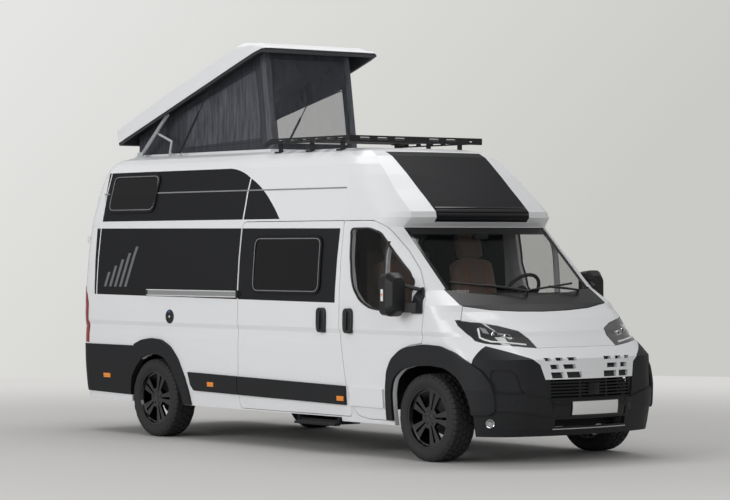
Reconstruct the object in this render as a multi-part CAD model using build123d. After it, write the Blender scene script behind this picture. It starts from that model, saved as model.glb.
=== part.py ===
from functools import lru_cache
from build123d import *
from math import atan2, cos, hypot, pi, radians, sin, tan
import os

os.makedirs("parts", exist_ok=True)

# Driving sizes of the whole vehicle, in millimetres. +X is forward, +Y left, +Z up
OVERALL_LENGTH = 6363
WHEELBASE = 4035
FRONT_OVERHANG = 948
FX = OVERALL_LENGTH / 2 - FRONT_OVERHANG
RX = FX - WHEELBASE
WALL = 45
DOOR_GAP = 6
GLASS_INSET = 9
GLASS_THICKNESS = 6
SEAT = 0.3
FAR = 1500

# Tyres and wheels
TYRE_RADIUS = 369
TYRE_WIDTH = 255
RIM_RADIUS = 250
RIM_WIDTH = 214
WHEEL_Y = 915
HUB_RADIUS = 62
HUB_CLEARANCE = 1
SPOKE_PAIRS = 5

# Body outlines from the ground up, each a closed plan outline. Columns: height, half width,
# rear face from the rear axle, rear corner radius, end of the flat side from the front axle,
# end of the front corner from the front axle, its half width, nose on the centre line from
# the front axle, share of the wall thickness taken downwards
BODY = [
    (235, 975, -1258, 150, 386, 797, 640, 892, 0),
    (300, 990, -1270, 150, 367, 822, 650, 917, 0),
    (450, 1008, -1290, 155, 367, 850, 660, 945, 0),
    (620, 1018, -1304, 160, 367, 852, 660, 948, 0),
    (701, 1019, -1310, 160, 360, 842, 655, 940, 0),
    (871, 1020, -1318, 165, 347, 832, 640, 902, 0),
    (955, 1018, -1319, 165, 265, 707, 640, 770, 0),
    (1051, 1010, -1319, 165, 140, 567, 640, 647, 0),
    (1090, 1026, -1319, 165, 92, 522, 650, 602, 0),
    (1190, 1024, -1319, 165, 62, 367, 760, 432, 0),
    (1255, 1022, -1319, 165, 12, 267, 800, 307, 0),
    (1310, 1021, -1319, 165, -23, 207, 821, 222, 0),
    (1434, 1017, -1318, 165, -283, 10, 821, 57, 0),
    (1700, 998, -1312, 165, -573, -276, 815, -231, 0),
    (1971, 966, -1304, 168, -833, -568, 809, -518, 0),
    (2010, 960, -1301, 168, -800, -535, 800, -460, 0),
    (2055, 953, -1298, 170, -753, -493, 780, -418, 0),
    (2106, 942, -1294, 172, -783, -508, 780, -423, 0),
    (2200, 921, -1285, 175, -903, -613, 780, -528, 0),
    (2300, 900, -1274, 178, -1023, -733, 770, -643, 0),
    (2432, 860, -1252, 182, -1173, -873, 745, -798, 0),
    (2530, 832, -1229, 190, -1303, -993, 720, -913, 0.3),
    (2600, 795, -1189, 200, -1403, -1083, 690, -993, 0.5),
    (2650, 745, -1129, 210, -1473, -1193, 650, -1093, 0.8),
    (2680, 660, -1049, 220, -1593, -1353, 560, -1283, 1.0),
]
ROOF_TOP = BODY[-1][0]
SILL_Z = 318
FLOOR_TOP = 600
FLOOR_THICKNESS = 50
RAIL_LOW = 430
KNUCKLE_LOW = 290

# Side openings, as (offset from the front axle, height, corner radius)
DOOR_REAR_DX = -1198
DOOR_TOP = 2032
DOOR_SEAM = [
    (-84, 990, 0),
    (-38, 1355, 60),
    (-108, 1446, 80),
    (-228, 1603, 200),
    (-400, 1768, 300),
    (-586, 1920, 300),
    (-700, 2000, 150),
    (-790, 2030, 150),
    (DOOR_REAR_DX, DOOR_TOP, 30),
    (DOOR_REAR_DX, 1078, 300),
    (-1115, 645, 300),
    (-1047, 431, 200),
    (-960, 345, 100),
    (-820, SILL_Z + 2, 40),
    (-566, SILL_Z + 2, 20),
    (-556, 561, 60),
    (-536, 740, 120),
    (-480, 850, 150),
    (-374, 928, 200),
    (-240, 970, 200),
]
DOOR_WINDOW = [
    (-1080, 1960, 50),
    (-833, 1962, 60),
    (-700, 1925, 150),
    (-480, 1738, 150),
    (-300, 1590, 60),
    (-215, 1500, 20),
    (-215, 1285, 20),
    (-620, 1262, 60),
    (-780, 1279, 100),
    (-896, 1329, 100),
    (-1000, 1430, 100),
    (-1060, 1650, 200),
]
MIRROR_Z = 1400
MIRROR_HEAD = [(-65, 190, 352, 55), (25, 204, 371, 66), (85, 140, 280, 60)]
MIRROR_BASE = [(-190, 1240, 10), (-190, 1310, 20), (-125, 1465, 20), (-90, 1465, 20), (-62, 1400, 20), (-62, 1240, 10)]
DIVISION_BAR_DX = -585
DIVISION_BAR = 30
SLIDER_REAR_DX = -2699
SLIDER_TOP = 2032
SLIDER_WINDOW = (-2460, 1411, -1497, 1875, 60)
UPPER_WINDOW = (-921, 2165, -160, 2484, 60)
WINDOW_FRAME = 28
WINDOW_PROUD = 12

# Front panels: bonnet outline in plan, and lamp and bumper edges
BONNET_PLAN = [(-60, 790), (152, 914), (217, 850), (333, 641), (451, 493), (570, 452), (735, 450)]
BONNET_FRONT_DX = 764
BONNET_TILT = 33
BONNET_THICKNESS = 32
BONNET_AXIS_DX = 218
BONNET_AXIS_Z = 1318
# Radius about the hinge, by distance from the middle, that the bonnet keeps clear for the cowl
BONNET_RELIEF = [(0, 121.5), (100, 117), (200, 111), (300, 103.5), (360, 96.5), (420, 89), (540, 74), (600, 61),
                 (650, 48), (700, 36), (740, 28), (780, 17), (815, 0)]
LAMP_RELIEF = 3
LAMP_RELIEF_ANGLES = (4.6, 6.9, 9.2, 11.5)
COWL_CORNER = (835, 1310)
COWL_EDGE = [(560, 1272), (280, 1257), (0, 1252)]
SCREEN_TOP = (809, 1968)
SCREEN_LOW = (821, 1434)
SCREEN_DIP_Z = 1378
LAMP_EDGE = [(264, 1192), (300, 1146), (384, 1079), (468, 1021), (542, 1000), (650, 984), (735, 958), (900, 950), (900, 1192)]
LAMP_INNER_Y = 450
BUMPER_EDGE = [(1100, 1000), (869, 982), (600, 878), (530, 826), (495, 703), (461, 542)]
BUMPER_REAR = [(494, 200), (497, 600), (515, 812), (562, 984), (600, 1010), (1050, 1010), (1050, 200)]
LEDGE = [(380, 526), (430, 530), (685, 586), (1100, 583), (1100, 452), (800, 448), (430, 392), (380, 388)]
LEDGE_STEP = 10
BUMPER_RECESS = [(665, 600, 0), (669, 767, 10), (686, 787, 10), (782, 783, 20), (806, 741, 20), (828, 640, 10), (843, 596, 0)]
MESH_TOP = (495, 703)
MESH_LOW = (461, 542)
MESH_BARS = 6
GRILLE_ROWS = [
    # height, slot height, slot columns as (inner half width, outer half width)
    (868, 26, [(150, 245), (290, 370), (415, 480)]),
    (806, 38, [(175, 300), (345, 430)]),
    (737, 50, [(120, 275), (310, 430)]),
]
SLOT_SLANT = 8
INTAKE_Z = (310, 372)
INTAKE_HALF = 400
FOG_LAMP = (615, 868, 345)
FOG_RADIUS = 36

# Wheel arches as (offset from the axle, height, corner radius)
FRONT_ARCH = [
    (-472, 150, 0), (-470, 560, 150), (-440, 680, 150), (-330, 765, 200), (-180, 797, 300), (60, 808, 400),
    (240, 794, 250), (400, 722, 200), (490, 600, 180), (528, 470, 150), (530, 150, 0),
]
REAR_ARCH = [
    (-440, 150, 0), (-426, 440, 120), (-400, 560, 140), (-310, 665, 160), (-215, 745, 180), (-100, 778, 220),
    (60, 786, 220), (180, 756, 200), (290, 660, 180), (375, 530, 200), (440, 400, 200), (462, 150, 0),
]
FRONT_TRIM = [
    (-558, 150, 0), (-546, 560, 150), (-526, 737, 150), (-470, 844, 150), (-366, 918, 200), (-236, 960, 250),
    (-49, 984, 300), (164, 976, 300), (356, 925, 250), (500, 852, 200), (620, 780, 120), (690, 672, 150),
    (714, 560, 120), (716, 440, 60), (660, 415, 30), (500, 415, 0), (500, 150, 0),
]
REAR_TRIM = [
    (-231, 600, 0), (-231, 725, 0), (-352, 866, 20), (-205, 917, 150), (-52, 936, 200), (110, 927, 200),
    (262, 867, 200), (385, 753, 200), (482, 596, 250), (543, 454, 200), (572, 320, 0), (572, 150, 0), (-231, 150, 0),
]
ARCH_PROUD = 26
STRIP_TOP = (612, -0.0166)
STRIP_LOW = (445, -0.0148)
STRIP_SLANT = (36, 86)
STRIP_PROUD = 20

# Over-cab nose cap: seam to the steel sides, and the dark front panel
NOSE_SEAM = [
    (-1236, 2321), (-1002, 2295), (-897, 2232), (-690, 2092), (-600, 2040), (-540, 2008), (-100, 1990),
    (-100, 2900), (-1236, 2900),
]
NOSE_PANEL = [(-531, 2016), (531, 2016), (536, 2106), (540, 2640), (-540, 2640), (-536, 2106)]
NOSE_PANEL_PROUD = 6

# Rear end
REAR_DOOR_OUTER = 868
REAR_DOOR_LOW = 566
REAR_DOOR_TOP = 2470
REAR_WINDOW = (130, 1420, 760, 1900, 60)
REAR_BUMPER_Z = (402, 552)
REAR_CORNER_TOP = 857
TAIL_LAMP_Z = (880, 1400)

# Pop-up roof: drawn closed, then raised about the linkage's virtual centre
LIFT_CENTRE_DX = -1479.5
LIFT_CENTRE_Z = 2815
LIFT_ANGLE = 18.9
LIP_Z = 2692
POP_REAR_DX = -1142
POP_WALL = 25
# Columns: distance from the rear lip, half width at the lip, height
POP_SECTIONS = [(0, 676, 140), (30, 702, 188), (160, 705, 202), (1000, 706, 226), (2165, 706, 220), (2400, 704, 122),
                (2510, 690, 52), (2537, 655, 22)]
POP_LINING = [(25, 690, 166), (160, 701, 198), (1000, 702, 222), (2165, 702, 216), (2385, 700, 120), (2470, 690, 72)]
HATCH = (350, 1050, 330)
PLINTH_HALF = 540
PLINTH_HEIGHT = 32
PLINTH_WIDTH = 45
PLINTH_REAR_DX = -1050
PLINTH_FRONT_DX = 1206
TENT_HALF = 505
TENT_WALL = 8
TENT_REAR_DX = -1030
TENT_FRONT_DX = 1190
TENT_TOP_FRONT_DX = 1062
ARM_Y = 624
ARM_WIDTH = 20
ARM_DEPTH = 28
ARM_FOOT = (-796.5, 2718)
ARM_HEAD = (-356.5, 3090)
BRACE_Y = 599
BRACE_WIDTH = 10
BRACE_FOOT = (-360.5, 2706)
BRACE_ELBOW = (-323.5, 2830)
BRACE_HEAD = (-563.5, 2915)
STRUT_Y = 620
STRUT_FOOT = (-161.5, 2712)
STRUT_HEAD = (380.5, 3350)
STRUT_BARREL = 470
STRUT_RADIUS = 11
ROD_RADIUS = 5
BASE_PLATE = (-860, -320, 6)

# Roof rack
RACK_REAR_DX = 1406
RACK_FRONT_DX = 2681
RACK_HALF = 775
RACK_DECK_Z = 2790
RACK_RAIL = (52, 8)
RACK_SLATS = 7
RACK_SLAT = (70, 6)
RACK_FEET = (0.08, 0.5, 0.9)


def rounded_face(corners, plane):
    """A face from corners (u, v, radius), each corner rounded by its own radius."""
    count = len(corners)
    starts = []
    ends = []
    edges = []
    for i, (u, v, r) in enumerate(corners):
        corner = Vector(u, v)
        before = (Vector(*corners[i - 1][:2]) - corner).normalized()
        after = (Vector(*corners[(i + 1) % count][:2]) - corner).normalized()
        half = radians(before.get_angle(after)) / 2
        if r > 0 and half < pi / 2 - 0.002:
            cut = r / tan(half)
            inward = (before + after).normalized()
            start = corner + before * cut
            end = corner + after * cut
            middle = corner + inward * (r / sin(half) - r)
            edges.append(Edge.make_three_point_arc(start, middle, end))
        else:
            start = corner
            end = corner
            edges.append(None)
        starts.append(start)
        ends.append(end)
    chain = []
    for i in range(count):
        if edges[i] is not None:
            chain.append(edges[i])
        gap_end = starts[(i + 1) % count]
        if (gap_end - ends[i]).length > 0.01:
            chain.append(Edge.make_line(ends[i], gap_end))
    return plane * Face(Wire(chain))


def shift(points, dx):
    return [(p[0] + dx, p[1], p[2] if len(p) > 2 else 0) for p in points]


def side_prism(points, inner, outer, grow=0):
    """Prism across the right side from a side view outline, between two half widths."""
    face = rounded_face(points, Plane.XZ.offset(inner))
    if grow:
        face = offset(face, amount=grow, kind=Kind.INTERSECTION)
    return extrude(face, amount=outer - inner, dir=Vector(0, -1, 0))


def front_prism(points, x0, x1, grow=0):
    """Prism along the vehicle from a front view outline (half width, height)."""
    face = rounded_face([(p[0], p[1], p[2] if len(p) > 2 else 0) for p in points], Plane.YZ.offset(x0))
    if grow:
        face = offset(face, amount=grow, kind=Kind.INTERSECTION)
    return extrude(face, amount=x1 - x0, dir=Vector(1, 0, 0))


def block(x0, x1, y0, y1, z0, z1):
    return Pos((x0 + x1) / 2, (y0 + y1) / 2, (z0 + z1) / 2) * Box(x1 - x0, y1 - y0, z1 - z0)


def rod(start, end, radius):
    start = Vector(*start)
    along = Vector(*end) - start
    return Plane(start, z_dir=along) * Cylinder(radius, along.length, align=(Align.CENTER, Align.CENTER, Align.MIN))


def across(x, z, radius, y0, y1):
    """A cylinder across the vehicle between two y values."""
    return rod((x, y0, z), (x, y1, z), radius)


def solids(shape):
    """The shape's own solids, largest first, without slivers."""
    found = shape.solids() if not isinstance(shape, (list, ShapeList)) else ShapeList(
        [s for item in shape for s in item.solids()])
    kept = [s for s in found if s.volume > 2000]
    return sorted(kept, key=lambda s: -s.volume)


def keep(shape, most=None):
    """A part of the shape's largest solids."""
    return Part(solids(shape)[:most])


def mirrored(shape):
    return mirror(shape, about=Plane.XZ)


def both_sides(shape):
    return Part(solids(shape) + solids(mirrored(shape)))


def plan_wire(row, inset):
    """One plan outline of the body, moved inwards by the inset (outwards if negative)."""
    z, half, rear, corner, side_end, corner_dx, corner_y, nose, lean = row
    flat = inset * (1 - 0.6 * lean)
    z = z - inset * lean
    dx = corner_dx - side_end
    dy = half - corner_y
    radius = (dx * dx + dy * dy) / (2 * dy)
    turn = 2 * atan2(dy, dx)
    small = radius - flat
    width = half - flat
    xs = FX + side_end
    xc = xs + small * sin(turn)
    yc = half - radius + small * cos(turn)
    xm = xs + small * sin(turn / 2)
    ym = half - radius + small * cos(turn / 2)
    xn = FX + nose - flat
    xr = RX + rear + flat
    r = corner - flat
    k = r * (1 - cos(pi / 4))
    right = Edge.make_line((xr + r, -width, z), (xs, -width, z))
    front_right = Edge.make_three_point_arc((xs, -width, z), (xm, -ym, z), (xc, -yc, z))
    front = Edge.make_three_point_arc((xc, -yc, z), (xn, 0, z), (xc, yc, z))
    front_left = Edge.make_three_point_arc((xc, yc, z), (xm, ym, z), (xs, width, z))
    left = Edge.make_line((xs, width, z), (xr + r, width, z))
    rear_left = Edge.make_three_point_arc((xr + r, width, z), (xr + k, width - k, z), (xr, width - r, z))
    back = Edge.make_line((xr, width - r, z), (xr, -width + r, z))
    rear_right = Edge.make_three_point_arc((xr, -width + r, z), (xr + k, -width + k, z), (xr + r, -width, z))
    return Wire([right, front_right, front, front_left, left, rear_left, back, rear_right])


@lru_cache(maxsize=None)
def body_solid(inset, low=BODY[0][0]):
    rows = [(low,) + BODY[0][1:]] + BODY[1:]
    return Part([Solid.make_loft([plan_wire(row, inset) for row in rows], True)])


OUTER = body_solid(0)
INNER = body_solid(WALL, BODY[0][0] - 5)
SHELL = OUTER - INNER
GLASS_SKIN = body_solid(GLASS_INSET) - body_solid(GLASS_INSET + GLASS_THICKNESS, BODY[0][0] - 5)
THIN_SKIN = OUTER - body_solid(BONNET_THICKNESS, BODY[0][0] - 5)


def proud_skin(height, region):
    """A layer of the given height on the body's surface, inside a region."""
    return (body_solid(-height) & region) - OUTER


# Shared cutting prisms of the right half
DOOR_OUTLINE = shift(DOOR_SEAM, FX)
DOOR_HOLE = side_prism(DOOR_OUTLINE, 700, FAR, DOOR_GAP / 2)
DOOR_LEAF = side_prism(DOOR_OUTLINE, 700, FAR, -DOOR_GAP / 2)
SLIDER_OUTLINE = [
    (FX + SLIDER_REAR_DX, SILL_Z + 12, 60),
    (FX + SLIDER_REAR_DX, SLIDER_TOP, 60),
    (FX + DOOR_REAR_DX, SLIDER_TOP, 5),
    (FX + DOOR_REAR_DX, 1078, 300),
    (FX - 1115, 645, 300),
    (FX - 1047, 431, 150),
    (FX - 1047, SILL_Z + 12, 40),
]
SLIDER_HOLE = side_prism(SLIDER_OUTLINE, 700, FAR, DOOR_GAP / 2)
SLIDER_LEAF = side_prism(SLIDER_OUTLINE, 700, FAR, -DOOR_GAP / 2)


def window_points(dx0, z0, dx1, z1, r, origin, grow=0):
    return [
        (origin + dx0 - grow, z0 - grow, r + grow), (origin + dx1 + grow, z0 - grow, r + grow),
        (origin + dx1 + grow, z1 + grow, r + grow), (origin + dx0 - grow, z1 + grow, r + grow),
    ]


def framed_window(spec, origin, inner=700):
    """A framed window: opening to cut, and frame and pane that fill it."""
    hole = side_prism(window_points(*spec, origin), inner, FAR)
    ring = side_prism(window_points(*spec, origin, WINDOW_FRAME), inner, FAR) - hole
    frame = proud_skin(WINDOW_PROUD, ring)
    pane = (body_solid(-WINDOW_PROUD / 2) & hole) - body_solid(GLASS_INSET, BODY[0][0] - 5)
    return hole, Part(solids(frame)), Part(solids(pane))


def arch_cut(profile, origin):
    return side_prism(shift(profile, origin), 600, FAR)


def arch_cut_both(profile, origin):
    cut = arch_cut(profile, origin)
    return cut + mirrored(cut)


def front_cutters():
    """Regions of the front end, both sides: bonnet, lamps, bumper, windscreen and cowl."""
    outline = [(FX + x, y, 0) for x, y in BONNET_PLAN] + [(FX + BONNET_FRONT_DX, 0, 0)]
    outline += [(FX + x, -y, 0) for x, y in reversed(BONNET_PLAN)]
    plan = rounded_face(outline, Plane.XY.offset(600))
    tilt = Vector(sin(radians(BONNET_TILT)), 0, cos(radians(BONNET_TILT)))
    start = Vector(0, 0, 0) - Vector(tilt.X, 0, 0) * (957 - 600) / tilt.Z
    reach = 900 / tilt.Z
    dip_line = [COWL_CORNER] + COWL_EDGE
    dip_line = dip_line + [(-y, z) for y, z in reversed(dip_line[:-1])]
    under = front_prism([(-FAR, 600), (FAR, 600), (FAR, COWL_CORNER[1])] + dip_line + [(-FAR, COWL_CORNER[1])],
                        FX - 60, FX + 1000)

    def tilted(face):
        return Pos(*start) * extrude(face, amount=reach, dir=tilt)

    leaf = tilted(offset(plan, amount=-DOOR_GAP / 2, kind=Kind.INTERSECTION)) & (Pos(0, 0, -DOOR_GAP) * under)
    hole = tilted(offset(plan, amount=DOOR_GAP / 2, kind=Kind.INTERSECTION)) & under
    lamp_half = side_prism(shift(LAMP_EDGE, FX), LAMP_INNER_Y, 1150) - hole
    lamps = lamp_half + mirrored(lamp_half)
    edge = BUMPER_EDGE + [(-y, z) for y, z in reversed(BUMPER_EDGE)] + [(-1100, 200), (1100, 200)]
    bumper_half = side_prism(shift(BUMPER_REAR, FX), 0, FAR)
    bumper = front_prism(edge, FX + 400, FX + 1100) & (bumper_half + mirrored(bumper_half))
    dip = Edge.make_three_point_arc((0, -SCREEN_LOW[0], SCREEN_LOW[1]), (0, 0, SCREEN_DIP_Z),
                                    (0, SCREEN_LOW[0], SCREEN_LOW[1]))
    rest = Wire.make_polygon([(0, SCREEN_LOW[0], SCREEN_LOW[1]), (0, SCREEN_TOP[0], SCREEN_TOP[1]),
                              (0, -SCREEN_TOP[0], SCREEN_TOP[1]), (0, -SCREEN_LOW[0], SCREEN_LOW[1])], close=False)
    screen_face = Pos(FX - 900, 0, 0) * Face(Wire([dip] + list(rest.edges())))
    screen = extrude(screen_face, amount=1400, dir=Vector(1, 0, 0))
    cowl = front_prism(dip_line + [(-COWL_CORNER[0], 1446), (COWL_CORNER[0], 1446)], FX - 400, FX + 600) - screen
    return leaf, hole, lamps, bumper, screen, cowl


BONNET_LEAF, BONNET_HOLE, LAMP_ZONE, BUMPER_ZONE, SCREEN_ZONE, COWL_ZONE = front_cutters()
MESH_ZONE = front_prism([(-MESH_LOW[0], MESH_LOW[1]), MESH_LOW, MESH_TOP, (-MESH_TOP[0], MESH_TOP[1])],
                        FX + 700, FX + 1000)
GRILLE_ZONE = (block(FX + 562, FX + 1000, -869, 869, 703, 990) - BUMPER_ZONE) - LAMP_ZONE
NOSE_ZONE_RIGHT = side_prism(shift(NOSE_SEAM, FX), 0, FAR)
NOSE_ZONE = NOSE_ZONE_RIGHT + mirrored(NOSE_ZONE_RIGHT)
CAB_REAR = FX + DOOR_REAR_DX
ROOF_SEAM_Z = 2600
REAR_ZONE = front_prism([(-REAR_DOOR_OUTER, REAR_DOOR_LOW, 30), (REAR_DOOR_OUTER, REAR_DOOR_LOW, 30),
                         (REAR_DOOR_OUTER, 1700, 300), (790, REAR_DOOR_TOP, 60), (-790, REAR_DOOR_TOP, 60),
                         (-REAR_DOOR_OUTER, 1700, 300)], RX - 1500, RX - 1150)
LIFT_X = RX + LIFT_CENTRE_DX
TAIL_ZONE_RIGHT = block(RX - 1500, RX - 1225, -1100, -REAR_DOOR_OUTER - 8, *TAIL_LAMP_Z)
REAR_BUMPER_ZONE_RIGHT = side_prism([
    (RX - 1500, REAR_BUMPER_Z[0], 0), (RX - 300, REAR_BUMPER_Z[0] - 24, 0), (RX - 231, 725, 0),
    (RX - 345, REAR_CORNER_TOP, 0), (RX - 1500, REAR_CORNER_TOP, 0)], REAR_DOOR_OUTER + 6, 1150)


def body_sides():
    """Steel sides behind the cab, from the sill to the roof seam, with their openings."""
    zone = block(RX - 1500, CAB_REAR, -FAR, FAR, SILL_Z, ROOF_SEAM_Z)
    band = ((SHELL & zone) - REAR_ZONE) - NOSE_ZONE
    band = band - arch_cut_both(REAR_ARCH, RX)
    right = band & block(-5000, 5000, -FAR, 0, 0, 4000)
    upper_hole, upper_frame, upper_pane = framed_window(UPPER_WINDOW, RX)
    slider_hole, slider_frame, slider_pane = framed_window(SLIDER_WINDOW, FX)
    corner = TAIL_ZONE_RIGHT + REAR_BUMPER_ZONE_RIGHT
    plain = (right - upper_hole) - corner
    side_right = keep(plain - SLIDER_HOLE, 1)
    side_left = keep(mirrored(plain - slider_hole), 1)
    slider = keep(((SHELL & SLIDER_LEAF) - slider_hole), 1)
    handle = handle_at(FX - 1441, 1160)
    roller = proud_skin(8, block(FX + SLIDER_REAR_DX - 8 + SEAT, FX + SLIDER_REAR_DX + 40, -FAR, -900, 1358, 1384))
    slider = keep(slider + handle + roller, 1)
    frames_right = solids(upper_frame) + solids(upper_pane)
    frames_left = solids(mirrored(upper_frame)) + solids(mirrored(upper_pane))
    slider_window = solids(slider_frame) + solids(slider_pane)
    frames_left += solids(mirrored(slider_frame)) + solids(mirrored(slider_pane))
    return {
        "body_side_right": side_right,
        "body_side_left": side_left,
        "sliding_door": slider,
        "slider_window": Part(slider_window),
        "window_right": Part(frames_right),
        "windows_left": Part(frames_left),
    }


def handle_at(x, z):
    """A vertical oval pull handle on the right side."""
    grip = Pos(x, -1024, z) * extrude(Plane.XZ * SlotOverall(220, 62, rotation=90), amount=20, both=True)
    recess = Pos(x, -1050, z) * extrude(Plane.XZ * SlotOverall(150, 24, rotation=90), amount=16, both=True)
    return grip - recess


def cab_front():
    """Wings, A-pillars and door surrounds in one pressing."""
    zone = block(CAB_REAR, FX + 1100, -FAR, FAR, 283, ROOF_SEAM_Z)
    cab = (SHELL & zone) - NOSE_ZONE
    door = DOOR_HOLE + mirrored(DOOR_HOLE)
    for cutter in (door, SLIDER_HOLE, BONNET_HOLE, LAMP_ZONE, BUMPER_ZONE, GRILLE_ZONE, SCREEN_ZONE, COWL_ZONE,
                   MESH_ZONE, arch_cut_both(FRONT_ARCH, FX)):
        cab = cab - cutter
    return cab


def relieved(bonnet, lamps):
    """The bonnet, cut back underneath: its rear edge turns clear of the cowl, its sides of the lamps."""
    axis = Vector(FX + BONNET_AXIS_DX, 0, BONNET_AXIS_Z)
    edge = [(axis.X + r, y, axis.Z) for y, r in BONNET_RELIEF]
    edge = [(x, -y, z) for x, y, z in reversed(edge[1:])] + edge
    bonnet = bonnet - revolve(Face(Wire.make_polygon(edge, close=True)), Axis(axis, (0, 1, 0)))
    for angle in LAMP_RELIEF_ANGLES:
        for lamp in lamps:
            nearer = Pos(-LAMP_RELIEF, 0, LAMP_RELIEF) * lamp
            bonnet = bonnet - Pos(*axis) * (Rot(0, angle, 0) * (Pos(*-axis) * nearer))
    return keep(bonnet, 1)


def front_parts():
    """Bonnet, windscreen, cowl, lamps, grille panel, mesh grille and bumper."""
    bonnet = keep(THIN_SKIN & BONNET_LEAF, 1)
    screen = keep(GLASS_SKIN & SCREEN_ZONE, 1)
    cowl = keep((SHELL & COWL_ZONE) - BONNET_HOLE, 1)
    fog = Vector(FX + FOG_LAMP[0], -FOG_LAMP[1], FOG_LAMP[2])
    out = Vector(0.74, -0.67, 0)
    fog_hole = rod(fog - out * 120, fog + out * 200, FOG_RADIUS + 8)
    fog_lens = rod(fog - out * 26, fog + out * 6, FOG_RADIUS + 7.7)
    lamps = solids((SHELL & LAMP_ZONE) & block(FX, FX + 900, -FAR, FAR, 900, 1300))
    bonnet = relieved(bonnet, lamps)
    lens = solids(fog_lens)[0]
    lamps += [lens, solids(mirrored(fog_lens))[0]]
    grille = (SHELL & GRILLE_ZONE) - BONNET_HOLE
    cuts = []
    for z, height, columns in GRILLE_ROWS:
        for inner, outer in columns:
            for side in (-1, 1):
                points = [(side * inner, z - height / 2), (side * outer, z - height / 2),
                          (side * (outer + SLOT_SLANT), z + height / 2), (side * (inner + SLOT_SLANT), z + height / 2)]
                cuts.append(front_prism(points, FX + 700, FX + 1000))
    for cut in cuts:
        grille = grille - cut
    ledge = front_prism([(-y, z) for y, z in LEDGE], FX + 500, FX + 1100) & BUMPER_ZONE
    ledge = ledge - side_prism(shift(FRONT_TRIM, FX), 500, FAR)
    recess = (OUTER - body_solid(LEDGE_STEP)) & side_prism(shift(BUMPER_RECESS, FX), 600, FAR)
    bumper = (SHELL & BUMPER_ZONE) - recess - mirrored(recess)
    bumper = bumper + proud_skin(LEDGE_STEP, ledge + mirrored(ledge))
    bumper = bumper - arch_cut_both(FRONT_ARCH, FX)
    bumper = bumper - block(FX + 700, FX + 1000, -INTAKE_HALF, INTAKE_HALF, *INTAKE_Z)
    bumper = (bumper - fog_hole) - mirrored(fog_hole)
    mesh_zone = front_prism([(-MESH_LOW[0] + 1, MESH_LOW[1] + 1), (MESH_LOW[0] - 1, MESH_LOW[1] + 1),
                             (MESH_TOP[0] - 1, MESH_TOP[1] - 1), (-MESH_TOP[0] + 1, MESH_TOP[1] - 1)],
                            FX + 700, FX + 1000)
    bars_skin = (body_solid(12) - body_solid(40, BODY[0][0] - 5)) & mesh_zone
    pitch = (MESH_TOP[1] - MESH_LOW[1]) / MESH_BARS
    mesh = bars_skin
    for i in range(MESH_BARS):
        z = MESH_LOW[1] + pitch * i + 9
        for side in (-1, 0, 1):
            mesh = mesh - block(FX + 700, FX + 1000, side * 300 - 142, side * 300 + 142, z, z + pitch - 12)
    return {
        "bonnet": bonnet,
        "windscreen": screen,
        "cowl": cowl,
        "lamps_front": Part(lamps),
        "grille_panel": keep(grille, 1),
        "mesh_grille": keep(mesh, 1),
        "front_bumper": keep(bumper, 1),
    }


def front_door():
    """The right front door leaf with its glass and its mirror."""
    window = shift(DOOR_WINDOW, FX)
    hole = side_prism(window, 600, FAR)
    bar = block(FX + DIVISION_BAR_DX - DIVISION_BAR / 2, FX + DIVISION_BAR_DX + DIVISION_BAR / 2, -FAR, -600, 1200, 2000)
    leaf = (SHELL & DOOR_LEAF) - (hole - bar)
    leaf = keep(leaf, 1)
    leaf = Part([leaf + handle_at(FX - 1061, 1160)])
    glass = keep((GLASS_SKIN & hole) - bar)
    head = loft([Plane(origin=(FX - 305 + x, -1150, MIRROR_Z), x_dir=(0, 1, 0), z_dir=(1, 0, 0)) *
                 RectangleRounded(w, h, r) for x, w, h, r in MIRROR_HEAD], ruled=True)
    low_arm = Pos(FX - 225, -1055, MIRROR_Z - 110) * (Rot(0, 0, 25) * Box(190, 60, 84))
    top_arm = rod((FX - 105, -1005, MIRROR_Z + 40), (FX - 280, -1100, MIRROR_Z + 86), 17)
    base = proud_skin(22, side_prism(shift(MIRROR_BASE, FX), 700, FAR) & DOOR_LEAF)
    mirror_head = ((head + low_arm + top_arm) - body_solid(-SEAT)) + base
    return leaf, glass, keep(mirror_head, 1)


def rear_doors():
    """The right rear door with its framed window."""
    zone = REAR_ZONE & block(RX - 1500, RX - 1150, -FAR, 0, 0, 4000)
    edges = [(-REAR_DOOR_OUTER + 5, REAR_DOOR_LOW + 5, 26), (-3, REAR_DOOR_LOW + 5, 4), (-3, REAR_DOOR_TOP - 5, 4),
             (-790 + 5, REAR_DOOR_TOP - 5, 55), (-REAR_DOOR_OUTER + 5, 1700, 300)]
    leaf = (SHELL & front_prism(edges, RX - 1500, RX - 1150)) & zone
    y0, z0, y1, z1, r = REAR_WINDOW
    corners = [(-y1, z0, r), (-y0, z0, r), (-y0, z1, r), (-y1, z1, r)]
    g = WINDOW_FRAME
    wide = [(-y1 - g, z0 - g, r + g), (-y0 + g, z0 - g, r + g), (-y0 + g, z1 + g, r + g), (-y1 - g, z1 + g, r + g)]
    hole = front_prism(corners, RX - 1500, RX - 1150)
    ring = front_prism(wide, RX - 1500, RX - 1150) - hole
    frame = proud_skin(WINDOW_PROUD, ring)
    pane = (body_solid(-WINDOW_PROUD / 2) & hole) - body_solid(GLASS_INSET, BODY[0][0] - 5)
    return keep(leaf - hole, 1), Part(solids(frame) + solids(pane))


def rear_end():
    """Tail lamps and the rear bumper with its raised corners."""
    lamp = SHELL & TAIL_ZONE_RIGHT
    corner_zone = REAR_BUMPER_ZONE_RIGHT - arch_cut(REAR_ARCH, RX)
    corner = body_solid(-12) & corner_zone
    corner = corner - INNER
    step = block(RX - 1380, RX - 1290, -REAR_DOOR_OUTER - 6, REAR_DOOR_OUTER + 6, *REAR_BUMPER_Z)
    step = step - OUTER
    bumper = (corner + mirrored(corner)) + step
    return both_sides(keep(lamp, 1)), keep(bumper, 1)


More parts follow.
